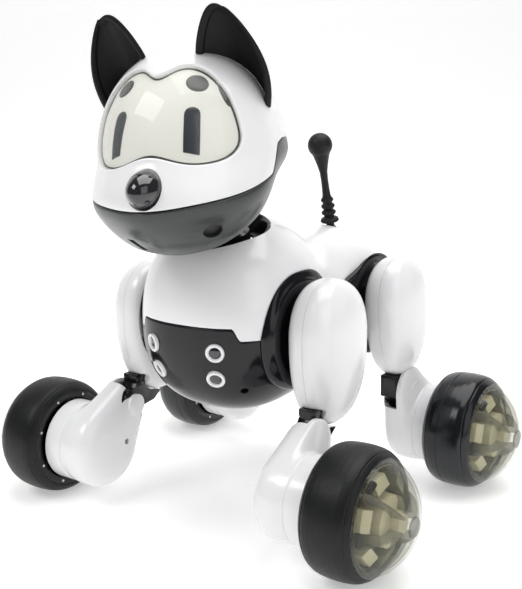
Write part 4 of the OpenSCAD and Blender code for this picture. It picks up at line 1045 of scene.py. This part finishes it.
def lift(mat, amount):
    """Adds a little glow to the floor so that it reads as paper white."""
    b = mat.node_tree.nodes["Principled BSDF"]
    b.inputs["Emission Color"].default_value = (1, 1, 1, 1)
    b.inputs["Emission Strength"].default_value = amount


lift(floor_mat, 0.38)


def area(name, place, at, size, power, color=(1, 1, 1)):
    l = bpy.data.lights.new(name, "AREA")
    l.shape, l.size, l.size_y, l.energy, l.color = "RECTANGLE", size[0], size[1], power, color
    o = bpy.data.objects.new(name, l)
    o.location = Vector(place) + SHIFT
    o.rotation_euler = (Vector(at) - Vector(place)).to_track_quat("-Z", "Y").to_euler()
    bpy.context.scene.collection.objects.link(o)
    return o


area("key", (-0.35, -0.75, 0.95), (0, 0, 0.1), (0.55, 0.4), 4.0)
area("top", (0.1, 0.15, 1.1), (0, 0, 0.1), (1.0, 1.0), 10)
area("side", (0.95, -0.35, 0.55), (0, 0, 0.1), (0.7, 0.9), 2.2)
area("back", (-0.4, 0.9, 0.7), (0, 0, 0.1), (0.9, 0.6), 0.3)
world = bpy.data.worlds.new("studio")
bpy.context.scene.world = world
world.use_nodes = True
bg = world.node_tree.nodes["Background"]
grad = world.node_tree.nodes.new("ShaderNodeTexGradient")
mapping = world.node_tree.nodes.new("ShaderNodeMapping")
coord = world.node_tree.nodes.new("ShaderNodeTexCoord")
ramp = world.node_tree.nodes.new("ShaderNodeValToRGB")
world.node_tree.links.new(coord.outputs["Generated"], mapping.inputs["Vector"])
mapping.inputs["Rotation"].default_value = (0, math.radians(-90), 0)
world.node_tree.links.new(mapping.outputs["Vector"], grad.inputs["Vector"])
world.node_tree.links.new(grad.outputs["Fac"], ramp.inputs["Fac"])
ramp.color_ramp.elements[0].color = (0.75, 0.75, 0.75, 1)
ramp.color_ramp.elements[1].color = (1, 1, 1, 1)
world.node_tree.links.new(ramp.outputs["Color"], bg.inputs["Color"])
bg.inputs["Strength"].default_value = 0.42
path = world.node_tree.nodes.new("ShaderNodeLightPath")
dim = world.node_tree.nodes.new("ShaderNodeMapRange")
dim.inputs["To Min"].default_value = 0.42
dim.inputs["To Max"].default_value = 0.16
world.node_tree.links.new(path.outputs["Is Glossy Ray"], dim.inputs["Value"])
world.node_tree.links.new(dim.outputs["Result"], bg.inputs["Strength"])
bpy.context.scene.view_settings.view_transform = "Standard"

cam_data = bpy.data.cameras.new("camera")
cam_data.lens, cam_data.sensor_width, cam_data.sensor_fit = 61.23, 36, "AUTO"
cam_data.clip_start = 0.02
cam = bpy.data.objects.new("camera", cam_data)
bpy.context.scene.collection.objects.link(cam)
a, e, r = 35.39, 12.24, -1.05
fwd = V(-sin(a) * cos(e), cos(a) * cos(e), -sin(e))
right = V(cos(a), sin(a), 0)
up = np.cross(right, fwd)
right2, up2 = right * cos(r) + up * sin(r), -right * sin(r) + up * cos(r)
m = Matrix.Identity(4)
for i in range(3):
    m[i][0], m[i][1], m[i][2] = right2[i], up2[i], -fwd[i]
m.translation = Vector((0.28343, -0.39747, 0.20679)) + SHIFT
cam.matrix_world = m
bpy.context.scene.camera = cam
